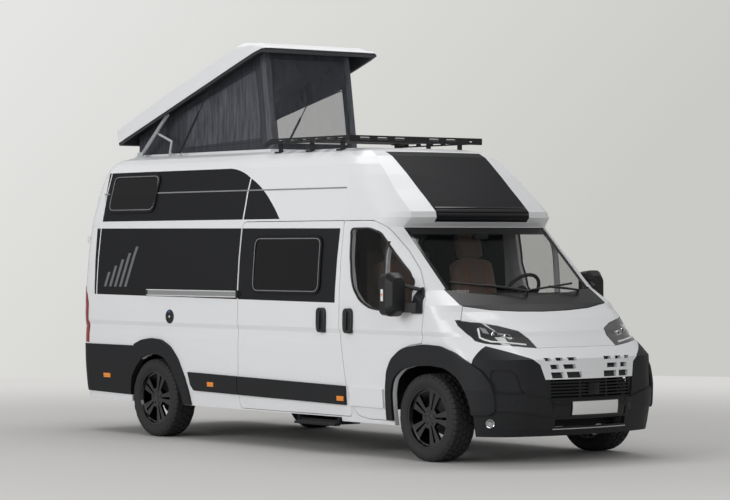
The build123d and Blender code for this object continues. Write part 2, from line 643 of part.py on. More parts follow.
def roof():
    """Roof panel with the hatch, and the plinth that carries the tent."""
    top = (SHELL & block(-5000, 5000, -FAR, FAR, ROOF_SEAM_Z, 3000)) - NOSE_ZONE
    hatch = block(RX + HATCH[0], RX + HATCH[1], -HATCH[2], HATCH[2], 2500, 3000)
    plinth = block(RX + PLINTH_REAR_DX, RX + PLINTH_FRONT_DX, -PLINTH_HALF, PLINTH_HALF, ROOF_TOP,
                   ROOF_TOP + PLINTH_HEIGHT)
    w = PLINTH_WIDTH
    plinth = plinth - block(RX + PLINTH_REAR_DX + w, RX + PLINTH_FRONT_DX - w, -PLINTH_HALF + w, PLINTH_HALF - w,
                            ROOF_TOP - 10, ROOF_TOP + PLINTH_HEIGHT + 10)
    nose = (SHELL & NOSE_ZONE) & block(CAB_REAR - 80, FX, -FAR, FAR, 1900, 3000)
    panel_zone = front_prism([(y, z, 0) for y, z in NOSE_PANEL], FX - 1300, FX)
    panel = proud_skin(NOSE_PANEL_PROUD, panel_zone)
    panel = keep(panel, 1)
    return keep((top - hatch) + plinth, 1), keep(nose, 1), panel


def trims():
    """Wheel arch mouldings and rub strips, standing proud of the sides."""
    front = side_prism(shift(FRONT_TRIM, FX), 500, FAR) - side_prism(shift(FRONT_ARCH, FX), 500, FAR)
    front = front - side_prism(DOOR_OUTLINE, 500, FAR, 9)
    rear = side_prism(shift(REAR_TRIM, RX), 600, FAR) - side_prism(shift(REAR_ARCH, RX), 500, FAR)
    rear = rear - REAR_BUMPER_ZONE_RIGHT
    sill = block(-5000, 5000, -FAR, -500, SILL_Z + 4, 2000)
    pieces = [keep(proud_skin(ARCH_PROUD, zone & sill), 1) for zone in (front, rear)]

    def strip(x0, x1, slanted=False):
        top, low = [[(x, z + slope * x) for x in (x0, x1)] for z, slope in (STRIP_TOP, STRIP_LOW)]
        points = [top[0], top[1], low[1], low[0]]
        if slanted:
            mid = (x0 + STRIP_SLANT[0], (top[0][1] * 0.3 + low[0][1] * 0.7))
            points = [top[0], top[1], low[1], (x0 + STRIP_SLANT[1], low[0][1]), mid]
        return proud_skin(STRIP_PROUD, side_prism([(x, z, 0) for x, z in points], 900, FAR))

    x_split = FX + SLIDER_REAR_DX
    right = solids(strip(RX + 552, x_split - 4, True)) + solids(strip(x_split + 4, FX - 1108))
    left = solids(mirrored(strip(RX + 552, FX - 1108, True)))
    arches = [s for piece in pieces for s in (solids(piece) + solids(mirrored(piece)))]
    door_strip = strip(FX - 1040, FX - 590)
    return Part(arches), Part(right + left), keep(door_strip, 1)


def floor():
    """Floor with wheel houses, sills and firewall."""
    half = 990
    plate = block(RX - 1300, FX + 100, -half, half, FLOOR_TOP - FLOOR_THICKNESS, FLOOR_TOP)
    side = body_solid(WALL + SEAT, BODY[0][0] - 5) & block(-5000, 5000, -FAR, FAR, 300, 1300)
    house_f = block(FX - 485, FX + 330, -FAR, -560, 200, 860)
    house_r = block(RX - 440, RX + 440, -FAR, -740, 200, 830)
    top_f = block(FX - 515, FX + 330, -half, -530, FLOOR_TOP - 50, 890)
    top_r = block(RX - 470, RX + 470, -half, -710, FLOOR_TOP - 50, 860)
    firewall = block(FX + 80, FX + 100, -850, 850, FLOOR_TOP - 10, 1230)
    rails = [block(RX - 1240, FX + 700, y - 40, y + 40, RAIL_LOW, FLOOR_TOP - FLOOR_THICKNESS) for y in (-480, 480)]
    pan = plate + top_f + mirrored(top_f) + top_r + mirrored(top_r) + firewall
    for rail in rails:
        pan = pan + rail
    for house in (house_f, mirrored(house_f), house_r, mirrored(house_r)):
        pan = pan - house
    return keep(pan & side, 1)


def wheel(y_sign):
    """Tyre and rim turned about the Y axis at the origin, outer face to -Y when y_sign is -1."""
    r = TYRE_RADIUS
    w = TYRE_WIDTH / 2
    profile = [(RIM_RADIUS + 3, -w + 22), (RIM_RADIUS + 30, -w + 4), (RIM_RADIUS + 62, -w), (r - 26, -w + 14),
               (r - 4, -w + 36), (r, -w + 60), (r, w - 60), (r - 4, w - 36), (r - 26, w - 14),
               (RIM_RADIUS + 62, w), (RIM_RADIUS + 30, w - 4), (RIM_RADIUS + 3, w - 22)]
    tyre_face = Face(Wire.make_polygon([(x, 0, y) for x, y in profile], close=True))
    tyre = revolve(tyre_face, Axis.Z)
    h = RIM_WIDTH / 2
    barrel = [(RIM_RADIUS + 2.7, -h - 2), (RIM_RADIUS + 2.7, h + 2), (RIM_RADIUS - 6, h + 2), (RIM_RADIUS - 22, h - 40),
              (RIM_RADIUS - 22, -h + 30), (RIM_RADIUS - 10, -h - 2)]
    rim = revolve(Face(Wire.make_polygon([(x, 0, y) for x, y in barrel], close=True)), Axis.Z)
    disc = Pos(0, 0, h - 34) * Cylinder(RIM_RADIUS - 10, 26)
    window = Polygon((70, -6), (RIM_RADIUS - 34, -13), (RIM_RADIUS - 34, 13), (70, 6), align=None)
    wide = Polygon((92, -26), (RIM_RADIUS - 34, -72), (RIM_RADIUS - 26, 0), (RIM_RADIUS - 34, 72), (92, 26), align=None)
    for i in range(SPOKE_PAIRS):
        turn = 360 / SPOKE_PAIRS * i
        disc = disc - Rot(0, 0, turn) * (Pos(0, 0, h - 60) * extrude(window, amount=60))
        disc = disc - Rot(0, 0, turn + 180 / SPOKE_PAIRS) * (Pos(0, 0, h - 60) * extrude(wide, amount=60))
    hub = Pos(0, 0, h - 60) * Cylinder(HUB_RADIUS + 14, 50)
    bore = Pos(0, 0, h - 80) * Cylinder(HUB_RADIUS / 2 + HUB_CLEARANCE, 60)
    rim = (rim + disc + hub) - bore
    turn = Rot(90, 0, 0) if y_sign < 0 else Rot(-90, 0, 0)
    return keep(turn * tyre, 1), keep(turn * rim, 1)


def chassis():
    """Front subframe, knuckles, rear axle with leaf springs, engine and tanks."""
    bore_inner = WHEEL_Y + RIM_WIDTH / 2 - 110
    beam = block(FX - 180, FX + 180, -430, 430, 330, 390)
    arms = [rod((FX + dx, -400, 350), (FX, -700, 315), 22) for dx in (-150, 150)]
    half = arms[0] + arms[1] + block(FX - 40, FX + 40, -724, -680, 262, 334)
    half = half + block(FX - 28, FX + 28, -800, -720, 262, KNUCKLE_LOW - SEAT)
    sub = beam + half + mirrored(half) + block(FX - 60, FX + 60, -520, 520, 380, RAIL_LOW - SEAT)
    knuckle = block(FX - 45, FX + 45, -800, -752, KNUCKLE_LOW, 460)
    spindle = across(FX, TYRE_RADIUS, HUB_RADIUS / 2, -bore_inner - 40, -790)
    disc_brake = across(FX, TYRE_RADIUS, 150, -842, -815)
    knuckle = knuckle + spindle + disc_brake
    knuckle_right = keep(knuckle, 1)
    axle_end = across(RX, TYRE_RADIUS, HUB_RADIUS / 2, -bore_inner - 40, -700)
    brake = across(RX, TYRE_RADIUS, 150, -842, -800)
    spring = block(RX - 700, RX + 700, -520, -450, 396, RAIL_LOW - SEAT)
    axle_half = axle_end + brake + spring
    beam_r = across(RX, TYRE_RADIUS, 38, -760, 760)
    axle = beam_r + axle_half + mirrored(axle_half)
    return sub, knuckle_right, keep(axle, 1)


def interior():
    """Cab seats, dashboard with its steering wheel, and the living space furniture."""
    seats = []
    for y in (-430, 430):
        base = block(FX - 1010, FX - 590, y - 200, y + 200, FLOOR_TOP + 0.3, FLOOR_TOP + 300)
        cushion = block(FX - 1060, FX - 540, y - 250, y + 250, FLOOR_TOP + 290, FLOOR_TOP + 450)
        back = Pos(FX - 1060, y, FLOOR_TOP + 740) * (Rot(0, -12, 0) * Box(130, 480, 720))
        head = Pos(FX - 1155, y, FLOOR_TOP + 1200) * (Rot(0, -12, 0) * Box(100, 270, 230))
        post = Pos(FX - 1130, y, FLOOR_TOP + 1090) * (Rot(0, -12, 0) * Box(30, 150, 60))
        seats.append(keep(base + cushion + back + head + post, 1))
    profile = [(FX - 330, FLOOR_TOP + 340, 30), (FX - 250, FLOOR_TOP + 330, 30), (FX + 60, FLOOR_TOP + 340, 10),
               (FX + 60, FLOOR_TOP + 700, 30), (FX - 180, FLOOR_TOP + 800, 60), (FX - 330, FLOOR_TOP + 760, 60)]
    dash = side_prism(profile, -880, 880)
    dash = dash & INNER
    dash = dash + block(FX - 300, FX - 60, -130, 130, FLOOR_TOP + SEAT, FLOOR_TOP + 360)
    centre = Vector(FX - 430, 420, FLOOR_TOP + 800)
    tilt = Rot(0, -55, 0)
    ring = Pos(*centre) * (tilt * Torus(185, 16))
    bar = Pos(*centre) * (tilt * Box(40, 350, 20))
    hub = Pos(*centre) * (tilt * Cylinder(60, 36))
    column = rod((centre.X, centre.Y, centre.Z), (FX - 230, 420, FLOOR_TOP + 640), 32)
    dash = dash + ring + bar + hub + column
    galley = block(FX - 3350, FX - 2350, -920, -420, FLOOR_TOP + 0.3, FLOOR_TOP + 850) & body_solid(WALL + 4)
    bed = block(RX - 1225, RX + 260, -1000, 1000, 1010, 1090) & body_solid(WALL + SEAT)
    bath = block(RX + 480, RX + 1150, 120, 920, FLOOR_TOP + 0.3, 2450) & body_solid(WALL + 4)
    bench = block(FX - 2260, FX - 1660, 150, 900, FLOOR_TOP + 0.3, FLOOR_TOP + 420) & body_solid(WALL + 4)
    bench_back = block(FX - 2380, FX - 2262, 150, 900, FLOOR_TOP + 0.3, FLOOR_TOP + 1150) & body_solid(WALL + 4)
    furniture = [solids(s)[0] for s in (galley, bed, bath, bench, bench_back)]
    return Part([solids(s)[0] for s in seats]), keep(dash, 1), Part(furniture)


def lock_carrier():
    """Crossbar behind the grille with the radiator and the buffers that the bonnet rests on."""
    bar = block(FX + 640, FX + 680, -560, 560, 820, 860)
    for y in (-480, 480):
        bar = bar + block(FX + 640, FX + 680, y - 25, y + 25, FLOOR_TOP - FLOOR_THICKNESS, 830)
    bar = bar + block(FX + 684, FX + 730, -430, 430, 300, 830) + block(FX + 660, FX + 700, -430, 430, 790, 830)
    buffers = block(FX + 650, FX + 670, -330, -310, 850, 1300) + block(FX + 650, FX + 670, 310, 330, 850, 1300)
    buffers = buffers & body_solid(BONNET_THICKNESS + SEAT)
    return keep(bar + buffers, 1)


def raise_roof(shape):
    """Turn a piece drawn closed into its raised place."""
    pivot = Pos(LIFT_X, 0, LIFT_CENTRE_Z)
    return pivot * (Rot(0, -LIFT_ANGLE, 0) * (Pos(-LIFT_X, 0, -LIFT_CENTRE_Z) * shape))


def pop_shell():
    """The hinged roof shell, hollow and open below."""
    def section(x, half, height, inset):
        w = half - inset
        h = height - inset
        low = LIP_Z - (5 if inset else 0)
        half_points = [(x, w, low), (x, w - 10, LIP_Z + h * 0.75), (x, w - 120, LIP_Z + h)]
        points = [(x, -y, z) for x, y, z in half_points] + half_points[::-1]
        return Wire.make_polygon(points, close=True)

    rear = RX + POP_REAR_DX
    outer = Solid.make_loft([section(rear + x, half, height, 0) for x, half, height in POP_SECTIONS], True)
    inner_rows = [(rear + x, half, height) for x, half, height in POP_LINING]
    inner = Solid.make_loft([section(x, half, height, POP_WALL) for x, half, height in inner_rows], True)
    shell = raise_roof(Part([outer]) - Part([inner]))
    for (x, z), y in ((ARM_HEAD, -ARM_Y - ARM_WIDTH / 2), (STRUT_HEAD, -STRUT_Y - 9)):
        pin = across(RX + x, z, 6, -690, y - SEAT)
        shell = shell + pin + mirrored(pin)
    return keep(shell, 1)


def tent():
    """Fabric walls between plinth and shell, open above and below."""
    x0 = RX + TENT_REAR_DX
    x1 = RX + TENT_FRONT_DX
    x2 = RX + TENT_TOP_FRONT_DX
    low = ROOF_TOP + PLINTH_HEIGHT + 0.3

    def top(x):
        rear_lip = raised_point(RX + POP_REAR_DX, LIP_Z + 60)
        return rear_lip[1] + (x - rear_lip[0]) * tan(radians(LIFT_ANGLE))

    outline = [(x0, low, 0), (x1, low, 0), (x2, top(x2), 0), (x0, top(x0), 0)]
    t = TENT_WALL
    inner = [(x0 + t, low - 20, 0), (x1 - t, low - 20, 0), (x1 - t, low, 0), (x2 - t, top(x2) + 40, 0),
             (x0 + t, top(x0) + 40, 0)]
    walls = side_prism(outline, -TENT_HALF, TENT_HALF) - side_prism(inner, -TENT_HALF + t, TENT_HALF - t)
    return keep(walls, 1)


def raised_point(x, z):
    dx = x - LIFT_X
    dz = z - LIFT_CENTRE_Z
    a = radians(LIFT_ANGLE)
    return (LIFT_X + dx * cos(a) - dz * sin(a), LIFT_CENTRE_Z + dx * sin(a) + dz * cos(a))


def bar_between(p, q, y, width, depth, overrun):
    """A flat bar in a plane of constant y between two (x, z) points."""
    length = hypot(q[0] - p[0], q[1] - p[1])
    angle = atan2(q[1] - p[1], q[0] - p[0]) * 180 / pi
    bar = Pos(length / 2, 0, 0) * Box(length + 2 * overrun, width, depth)
    return Pos(p[0], y, p[1]) * (Rot(0, -angle, 0) * bar)


def lift_linkage():
    """Arms, bent braces, gas struts and their base plates on the right side."""
    def at(point):
        return (RX + point[0], point[1])

    foot, head = at(ARM_FOOT), at(ARM_HEAD)
    arm = bar_between(foot, head, -ARM_Y, ARM_WIDTH, ARM_DEPTH, 10)
    groove = bar_between(foot, head, -ARM_Y - 8, ARM_WIDTH, ARM_DEPTH - 10, -30)
    arm = arm - groove
    b_foot, b_elbow, b_head = at(BRACE_FOOT), at(BRACE_ELBOW), at(BRACE_HEAD)
    brace = bar_between(b_foot, b_elbow, -BRACE_Y, BRACE_WIDTH, 22, 9)
    brace = brace + bar_between(b_elbow, b_head, -BRACE_Y, BRACE_WIDTH, 22, 9)
    s_foot, s_head = at(STRUT_FOOT), at(STRUT_HEAD)
    length = hypot(s_head[0] - s_foot[0], s_head[1] - s_foot[1])
    ux, uz = (s_head[0] - s_foot[0]) / length, (s_head[1] - s_foot[1]) / length
    end = (s_foot[0] + ux * STRUT_BARREL, s_foot[1] + uz * STRUT_BARREL)
    start = (s_foot[0] + ux * (STRUT_BARREL - 100), s_foot[1] + uz * (STRUT_BARREL - 100))
    barrel = rod((s_foot[0], -STRUT_Y, s_foot[1]), (end[0], -STRUT_Y, end[1]), STRUT_RADIUS)
    bore_start = (s_foot[0] + ux * 20, s_foot[1] + uz * 20)
    barrel = barrel - rod((bore_start[0], -STRUT_Y, bore_start[1]), (end[0] + ux, -STRUT_Y, end[1] + uz),
                          ROD_RADIUS + 0.4)
    piston = rod((start[0], -STRUT_Y, start[1]), (s_head[0], -STRUT_Y, s_head[1]), ROD_RADIUS)
    piston = piston + across(s_head[0], s_head[1], 10, -STRUT_Y - 9, -STRUT_Y + 9)
    x0, x1, thick = BASE_PLATE
    plate = block(RX + x0, RX + x1, -ARM_Y - 30, -BRACE_Y + 34, ROOF_TOP, ROOF_TOP + thick)
    ear = block(b_foot[0] - 22, b_foot[0] + 22, -BRACE_Y + 5.3, -BRACE_Y + 12, ROOF_TOP + thick, b_foot[1] + 14)
    web_y = -ARM_Y - ARM_WIDTH / 2 - SEAT
    web = block(RX + x0, foot[0] + 30, web_y - 6, web_y, ROOF_TOP + thick, foot[1] + 16)
    strut_base = block(s_foot[0] - 60, s_foot[0] + 30, -STRUT_Y - 28, -STRUT_Y + 28, ROOF_TOP, ROOF_TOP + 8)
    strut_ear = block(s_foot[0] - 14, s_foot[0] + 14, -STRUT_Y + STRUT_RADIUS + SEAT, -STRUT_Y + 20, ROOF_TOP + 8, s_foot[1] + 12)
    plates = [solids(plate + ear + web)[0], solids(strut_base + strut_ear)[0]]
    return arm, brace, barrel, piston, Part(plates)


def roof_rack():
    """Roof rack: side rails with sloped rear ends, slats, slotted front plate and feet."""
    x0 = RX + RACK_REAR_DX
    x1 = RX + RACK_FRONT_DX
    height, thick = RACK_RAIL
    top = RACK_DECK_Z
    rail_face = rounded_face([(x0, top - 74, 4), (x0 + 70, top - 74, 10), (x0 + 130, top - height, 20),
                              (x1, top - height, 8), (x1, top, 8), (x0 + 110, top, 30), (x0, top - 56, 10)],
                             Plane.XZ.offset(RACK_HALF - thick))
    rail = extrude(rail_face, amount=thick)
    for share in (0.22, 0.36, 0.5, 0.64, 0.78, 0.9):
        x = x0 + (x1 - x0) * share
        slot = Pos(x, 0, top - height / 2 - 2) * extrude(Plane.XZ * SlotOverall(120, 22), amount=2000, both=True)
        rail = rail - slot
    rack = rail + mirrored(rail)
    pitch = (x1 - x0 - 200) / (RACK_SLATS - 1)
    for i in range(RACK_SLATS):
        x = x0 + 130 + pitch * i
        rack = rack + block(x - RACK_SLAT[0] / 2, x + RACK_SLAT[0] / 2, -RACK_HALF + thick / 2, RACK_HALF - thick / 2,
                            top - 24, top - 24 + RACK_SLAT[1])
    plate = block(x1 - thick, x1, -RACK_HALF + 2, RACK_HALF - 2, top - height - 8, top)
    for y in (-600, -400, -200, 200, 400, 600):
        plate = plate - Pos(x1, y, top - height / 2) * extrude(Plane.YZ * SlotOverall(120, 22), amount=40, both=True)
    rack = rack + plate
    foot_y = RACK_HALF - 90
    for share in RACK_FEET:
        x = x0 + 60 + (x1 - x0 - 160) * share
        foot = block(x - 45, x + 45, -RACK_HALF + thick / 2, -foot_y + 30, top - 30, top - 22)
        foot = foot + block(x - 30, x + 30, -foot_y - 4, -foot_y + 4, 2560, top - 26)
        foot = foot + block(x - 45, x + 45, -foot_y - 40, -foot_y + 30, 2560, 2674)
        foot = foot - body_solid(0)
        foot = keep(foot, 1)
        rack = rack + foot + mirrored(foot)
    return keep(rack, 1)


def entry_parts():
    """Slide rail on the right side and the folding entry step under the sliding door."""
    rail = proud_skin(10, block(RX - 130, FX + SLIDER_REAR_DX - 8, -FAR, -900, 1350, 1392))
    step = block(FX - 1800, FX - 1215, -1015, -760, 262, 316) - block(FX - 1785, FX - 1230, -2000, -775, 275, 330)
    tread = block(FX - 1797, FX - 1213, -1060, -1000, 240, 262)
    brace_x = [block(FX - 1800 + i * 555, FX - 1770 + i * 555, -1010, -775, 250, 290) for i in (0, 1)]
    step = step + tread + brace_x[0] + brace_x[1]
    hanger = block(FX - 1760, FX - 1740, -800, -765, 300, 560) + block(FX - 1280, FX - 1260, -800, -765, 300, 560)
    hanger = hanger & block(-5000, 5000, -FAR, FAR, 300, FLOOR_TOP - FLOOR_THICKNESS)
    return keep(rail, 1), keep(step + hanger, 1)


def main():
    nodes = {}
    nodes.update(body_sides())
    nodes.update(front_parts())
    nodes["cab_front"] = keep(cab_front())
    leaf, glass, mirror_head = front_door()
    arches, strips, door_strip = trims()
    leaf = Part([leaf + door_strip])
    for side, flip in (("right", lambda s: s), ("left", mirrored)):
        nodes["front_door_" + side] = flip(leaf)
        nodes["door_glass_" + side] = flip(glass)
        nodes["mirror_" + side] = flip(mirror_head)
    rear_leaf, rear_window = rear_doors()
    for side, flip in (("right", lambda s: s), ("left", mirrored)):
        nodes["rear_door_" + side] = flip(rear_leaf)
        nodes["rear_window_" + side] = flip(rear_window)
    nodes["lamps_rear"], nodes["rear_bumper"] = rear_end()
    nodes["roof_panel"], nodes["nose_cap"], nodes["nose_panel"] = roof()
    nodes["arch_trims"], nodes["rub_strips"] = arches, strips
    nodes["floor_pan"] = floor()
    nodes["slide_rail"], nodes["entry_step"] = entry_parts()
    sub, knuckle, axle = chassis()
    nodes["front_subframe"] = keep(sub, 1)
    nodes["knuckle_right"] = knuckle
    nodes["knuckle_left"] = mirrored(knuckle)
    nodes["rear_axle"] = axle
    nodes["lock_carrier"] = lock_carrier()
    nodes["engine_block"] = block(FX + 120, FX + 560, SEAT - 440, 440 - SEAT, 440, 1000)
    nodes["underfloor_tanks"] = Part([solids(block(-700, 300, -420, 420, 300, 549.7))[0]])
    for name, x in (("front", FX), ("rear", RX)):
        for side, y in (("right", -WHEEL_Y), ("left", WHEEL_Y)):
            tyre, rim = wheel(y)
            place = Pos(x, y, TYRE_RADIUS)
            nodes["tyre_%s_%s" % (name, side)] = place * tyre
            nodes["rim_%s_%s" % (name, side)] = place * rim
    nodes["seats"], nodes["dashboard"], nodes["furniture"] = interior()
    nodes["pop_roof_shell"] = pop_shell()
    nodes["tent"] = tent()
    arm, brace, barrel, piston, plates = lift_linkage()
    nodes["lift_arms"] = both_sides(arm)
    nodes["lift_braces"] = both_sides(brace)
    nodes["strut_barrels"] = both_sides(barrel)
    nodes["strut_rods"] = both_sides(piston)
    nodes["lift_base_plates"] = both_sides(plates)
    nodes["roof_rack"] = roof_rack()
    for name, shape in nodes.items():
        export_step(shape, "parts/%s.step" % name)
    print(len(nodes), "nodes")


main()
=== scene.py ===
import math

import bpy
from mathutils import Euler, Matrix, Vector


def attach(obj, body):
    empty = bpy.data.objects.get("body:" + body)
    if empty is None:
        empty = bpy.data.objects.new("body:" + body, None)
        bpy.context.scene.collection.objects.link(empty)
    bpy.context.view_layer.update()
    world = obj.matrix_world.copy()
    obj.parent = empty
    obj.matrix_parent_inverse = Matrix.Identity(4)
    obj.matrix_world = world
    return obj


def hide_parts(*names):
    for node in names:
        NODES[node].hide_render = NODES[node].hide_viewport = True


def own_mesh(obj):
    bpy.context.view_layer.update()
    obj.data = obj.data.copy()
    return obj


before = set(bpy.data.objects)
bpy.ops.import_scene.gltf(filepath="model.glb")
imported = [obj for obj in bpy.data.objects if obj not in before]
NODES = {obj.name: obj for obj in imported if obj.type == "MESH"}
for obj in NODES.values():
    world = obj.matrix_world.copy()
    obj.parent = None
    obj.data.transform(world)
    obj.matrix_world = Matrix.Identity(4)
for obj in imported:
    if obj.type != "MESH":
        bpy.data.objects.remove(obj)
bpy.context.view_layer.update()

# Camera
# It stands about 22 m off the right front corner, at eye height. Its lens is long, so the
# van's sides stay nearly parallel, and the horizon runs through the middle.
bpy.ops.object.camera_add()
camera = bpy.context.object
camera.name = "photo_camera"
camera.data.sensor_width = 36
camera.data.lens = 134.12
aim = Euler((math.radians(90 - 0.118), 0, math.radians(51.304))).to_matrix()
roll = Matrix.Rotation(math.radians(-0.159), 3, "Z")
camera.matrix_world = Matrix.Translation((19.672, -15.658, 1.823)) @ (aim @ roll).to_4x4()
bpy.context.scene.camera = camera


# Body panels
# Pressed sheet steel, spot welded and dipped, with white enamel under clear lacquer. The high
# roof and the nose cap are glass-fibre mouldings in the same white. Broad bands of black
# satin film are stuck to the sides, and are cut a few millimetres short of every panel gap.
def tint(code):
    """Linear colour of an sRGB hex value."""
    parts = [int(code[i:i + 2], 16) / 255 for i in (0, 2, 4)]
    return [c / 12.92 if c <= 0.04045 else ((c + 0.055) / 1.055) ** 2.4 for c in parts] + [1]


def add(tree, kind, settings, links):
    """A node with its settings and links. Settings name a property, or else an input."""
    made = tree.nodes.new(kind)
    for key, value in settings.items():
        if isinstance(key, str) and hasattr(made, key):
            setattr(made, key, value)
        else:
            made.inputs[key].default_value = value
    for key, (source, output) in links.items():
        tree.links.new(source.outputs[output], made.inputs[key])
    return made


def start_material(name, colour, roughness, **more):
    """A material with one Principled shader, and the shader and its tree."""
    made = bpy.data.materials.new(name)
    made.use_nodes = True
    tree = made.node_tree
    shader = tree.nodes["Principled BSDF"]
    shader.inputs["Base Color"].default_value = tint(colour)
    shader.inputs["Roughness"].default_value = roughness
    for key, value in more.items():
        shader.inputs[key.replace("_", " ")].default_value = value
    return made, tree, shader


def grain(tree, shader, size_mm, depth_mm, colour=None, spread=None):
    """Fine bumps of that size and depth, which may also shade the colour."""
    place = add(tree, "ShaderNodeTexCoord", {}, {})
    speck = add(tree, "ShaderNodeTexNoise", {"Scale": 1000 / size_mm, "Detail": 3}, {"Vector": (place, "Object")})
    bump = add(tree, "ShaderNodeBump", {"Strength": 1, "Distance": depth_mm / 1000}, {"Height": (speck, "Fac")})
    tree.links.new(bump.outputs["Normal"], shader.inputs["Normal"])
    if colour:
        shade = add(tree, "ShaderNodeMix", {"data_type": "RGBA", 6: tint(colour), 7: tint(spread)},
                    {0: (speck, "Fac")})
        tree.links.new(shade.outputs[2], shader.inputs["Base Color"])
    return place, speck


def grained(name, colour, roughness, size_mm, depth_mm, *shades, **more):
    """A material with fine bumps, which may also shade it between two colours."""
    made, tree, shader = start_material(name, colour, roughness, **more)
    grain(tree, shader, size_mm, depth_mm, *shades)
    return made


# White enamel with lacquer: glossy, with the faint ripple that spraying leaves. The ripple is
# drawn at 30 mm, several times its real size, so that it shows at all.
white_enamel = grained("lacquered_white_enamel", "E9EAEC", 0.32, 30, 0.02, Coat_Weight=0.25)


def film_limits(tree, place, edges):
    """One where a point is on the inner side of every edge, each given as x, z and least sum."""
    inside = None
    for x, z, least in edges:
        total = add(tree, "ShaderNodeVectorMath", {"operation": "DOT_PRODUCT", 1: (x, 0, z)}, {0: (place, "Object")})
        past = add(tree, "ShaderNodeMath", {"operation": "GREATER_THAN", 1: least}, {0: (total, "Value")})
        if inside is None:
            inside = past
        else:
            inside = add(tree, "ShaderNodeMath", {"operation": "MULTIPLY"}, {0: (inside, 0), 1: (past, 0)})
    return inside


# White enamel with black vinyl film: the film is satin and nearly flat black, with a fine
# cast texture, and bare enamel shows along the panel gaps.
banded_enamel, tree, shader = start_material("white_enamel_with_black_film", "E9EAEC", 0.32, Specular_IOR_Level=0.3)
place = grain(tree, shader, 30, 0.02)[0]
axes = add(tree, "ShaderNodeSeparateXYZ", {}, {"Vector": (place, "Object")})
height = add(tree, "ShaderNodeMapRange", {1: 2.047, 2: 2.530}, {0: (axes, "Z")})
sweep = add(tree, "ShaderNodeFloatCurve", {}, {"Value": (height, 0)})
curve = sweep.mapping.curves[0]
curve.points[0].location = (0, 1)
curve.points[1].location = (1, 0)
for z, x in ((2.211, -0.086), (2.324, -0.243), (2.431, -0.460), (2.507, -0.669)):
    curve.points.new((z - 2.047) / 0.483, (x + 0.815) / 0.908)
sweep.mapping.update()
front_end = add(tree, "ShaderNodeMath", {"operation": "MULTIPLY_ADD", 1: 0.908, 2: -0.815}, {0: (sweep, 0)})
behind = add(tree, "ShaderNodeMath", {"operation": "LESS_THAN"}, {0: (axes, "X"), 1: (front_end, 0)})
upper = film_limits(tree, place, [(0, 1, 2.053), (0, -1, -2.530), (1, 0.1055, -2.590)])
upper = add(tree, "ShaderNodeMath", {"operation": "MULTIPLY"}, {0: (upper, 0), 1: (behind, 0)})
lower = film_limits(tree, place, [
    (0.0077, 1, 1.3215), (-0.0057, -1, -1.9705), (1, 0.0482, -2.7893), (-1, 0.0276, -0.9357)])
film = add(tree, "ShaderNodeMath", {"operation": "ADD", "use_clamp": True}, {0: (upper, 0), 1: (lower, 0)})
for middle, half in ((-2.818, 0.007), (-0.470, 0.009)):
    off = add(tree, "ShaderNodeMath", {"operation": "SUBTRACT", 1: middle}, {0: (axes, "X")})
    away = add(tree, "ShaderNodeMath", {"operation": "ABSOLUTE"}, {0: (off, 0)})
    clear = add(tree, "ShaderNodeMath", {"operation": "GREATER_THAN", 1: half}, {0: (away, 0)})
    film = add(tree, "ShaderNodeMath", {"operation": "MULTIPLY"}, {0: (film, 0), 1: (clear, 0)})
speck = add(tree, "ShaderNodeTexNoise", {"Scale": 60, "Detail": 4}, {"Vector": (place, "Object")})
black = add(tree, "ShaderNodeMix", {"data_type": "RGBA", 6: tint("0D0E11"), 7: tint("131418")}, {0: (speck, "Fac")})
shade = add(tree, "ShaderNodeMix", {"data_type": "RGBA", 6: tint("E9EAEC")}, {0: (film, 0), 7: (black, 2)})
tree.links.new(shade.outputs[2], shader.inputs["Base Color"])
rough = add(tree, "ShaderNodeMapRange", {3: 0.22, 4: 0.5}, {0: (film, 0)})
tree.links.new(rough.outputs[0], shader.inputs["Roughness"])


def coat(material, *names):
    """Those CAD nodes wear that material."""
    for name in names:
        mesh = NODES[name].data
        mesh.materials.clear()
        mesh.materials.append(material)


coat(banded_enamel, "body_side_right", "body_side_left", "sliding_door")
coat(white_enamel, "cab_front", "roof_panel", "nose_cap", "bonnet", "grille_panel", "front_door_right",
     "front_door_left", "rear_door_right", "rear_door_left")

# Bumpers, arch trims and strips
# Polypropylene mouldings in dark grey, with a spark-eroded leather grain that scatters the
# light. They clip over the sheet metal's edges.
moulded = grained("grained_polypropylene", "1C1D1F", 0.55, 4, 0.08, "17181A", "222326", Specular_IOR_Level=0.3)
dark_moulded = grained("grained_black_polypropylene", "141517", 0.4, 4, 0.08, "131416", "1E1F22",
                       Specular_IOR_Level=0.4)
coat(dark_moulded, "mirror_right", "mirror_left")
coat(moulded, "front_bumper", "rear_bumper", "arch_trims", "rub_strips", "mesh_grille", "entry_step",
     "underfloor_tanks")

# Windscreen and cab door glass
# Laminated and toughened glass with a light grey-green tint. Both faces are polished, so
# that it mirrors the studio while the seats and the wheel show through it.
tinted_glass = grained("tinted_float_glass", "1C2122", 0.02, 400, 0.02, Alpha=0.16, Specular_IOR_Level=0.6)
coat(tinted_glass, "windscreen", "door_glass_right", "door_glass_left")

# Living space windows
# Double panes of blown acrylic, tinted nearly black, in a polyurethane frame with a grey bead.
acrylic = grained("tinted_blown_acrylic", "0A0A0E", 0.06, 200, 0.05, Specular_IOR_Level=0.35)
coat(acrylic, "slider_window", "window_right", "windows_left", "rear_window_right", "rear_window_left")

# Lamps
# Clear polycarbonate covers over a black housing in front, and red acrylic at the back.
clear_cover = grained("hard_coated_polycarbonate", "15161A", 0.05, 60, 0.1, Coat_Weight=1.0)
red_lens = grained("red_acrylic", "8E0A0C", 0.12, 8, 0.2, Coat_Weight=0.7)
coat(clear_cover, "lamps_front")
coat(red_lens, "lamps_rear")

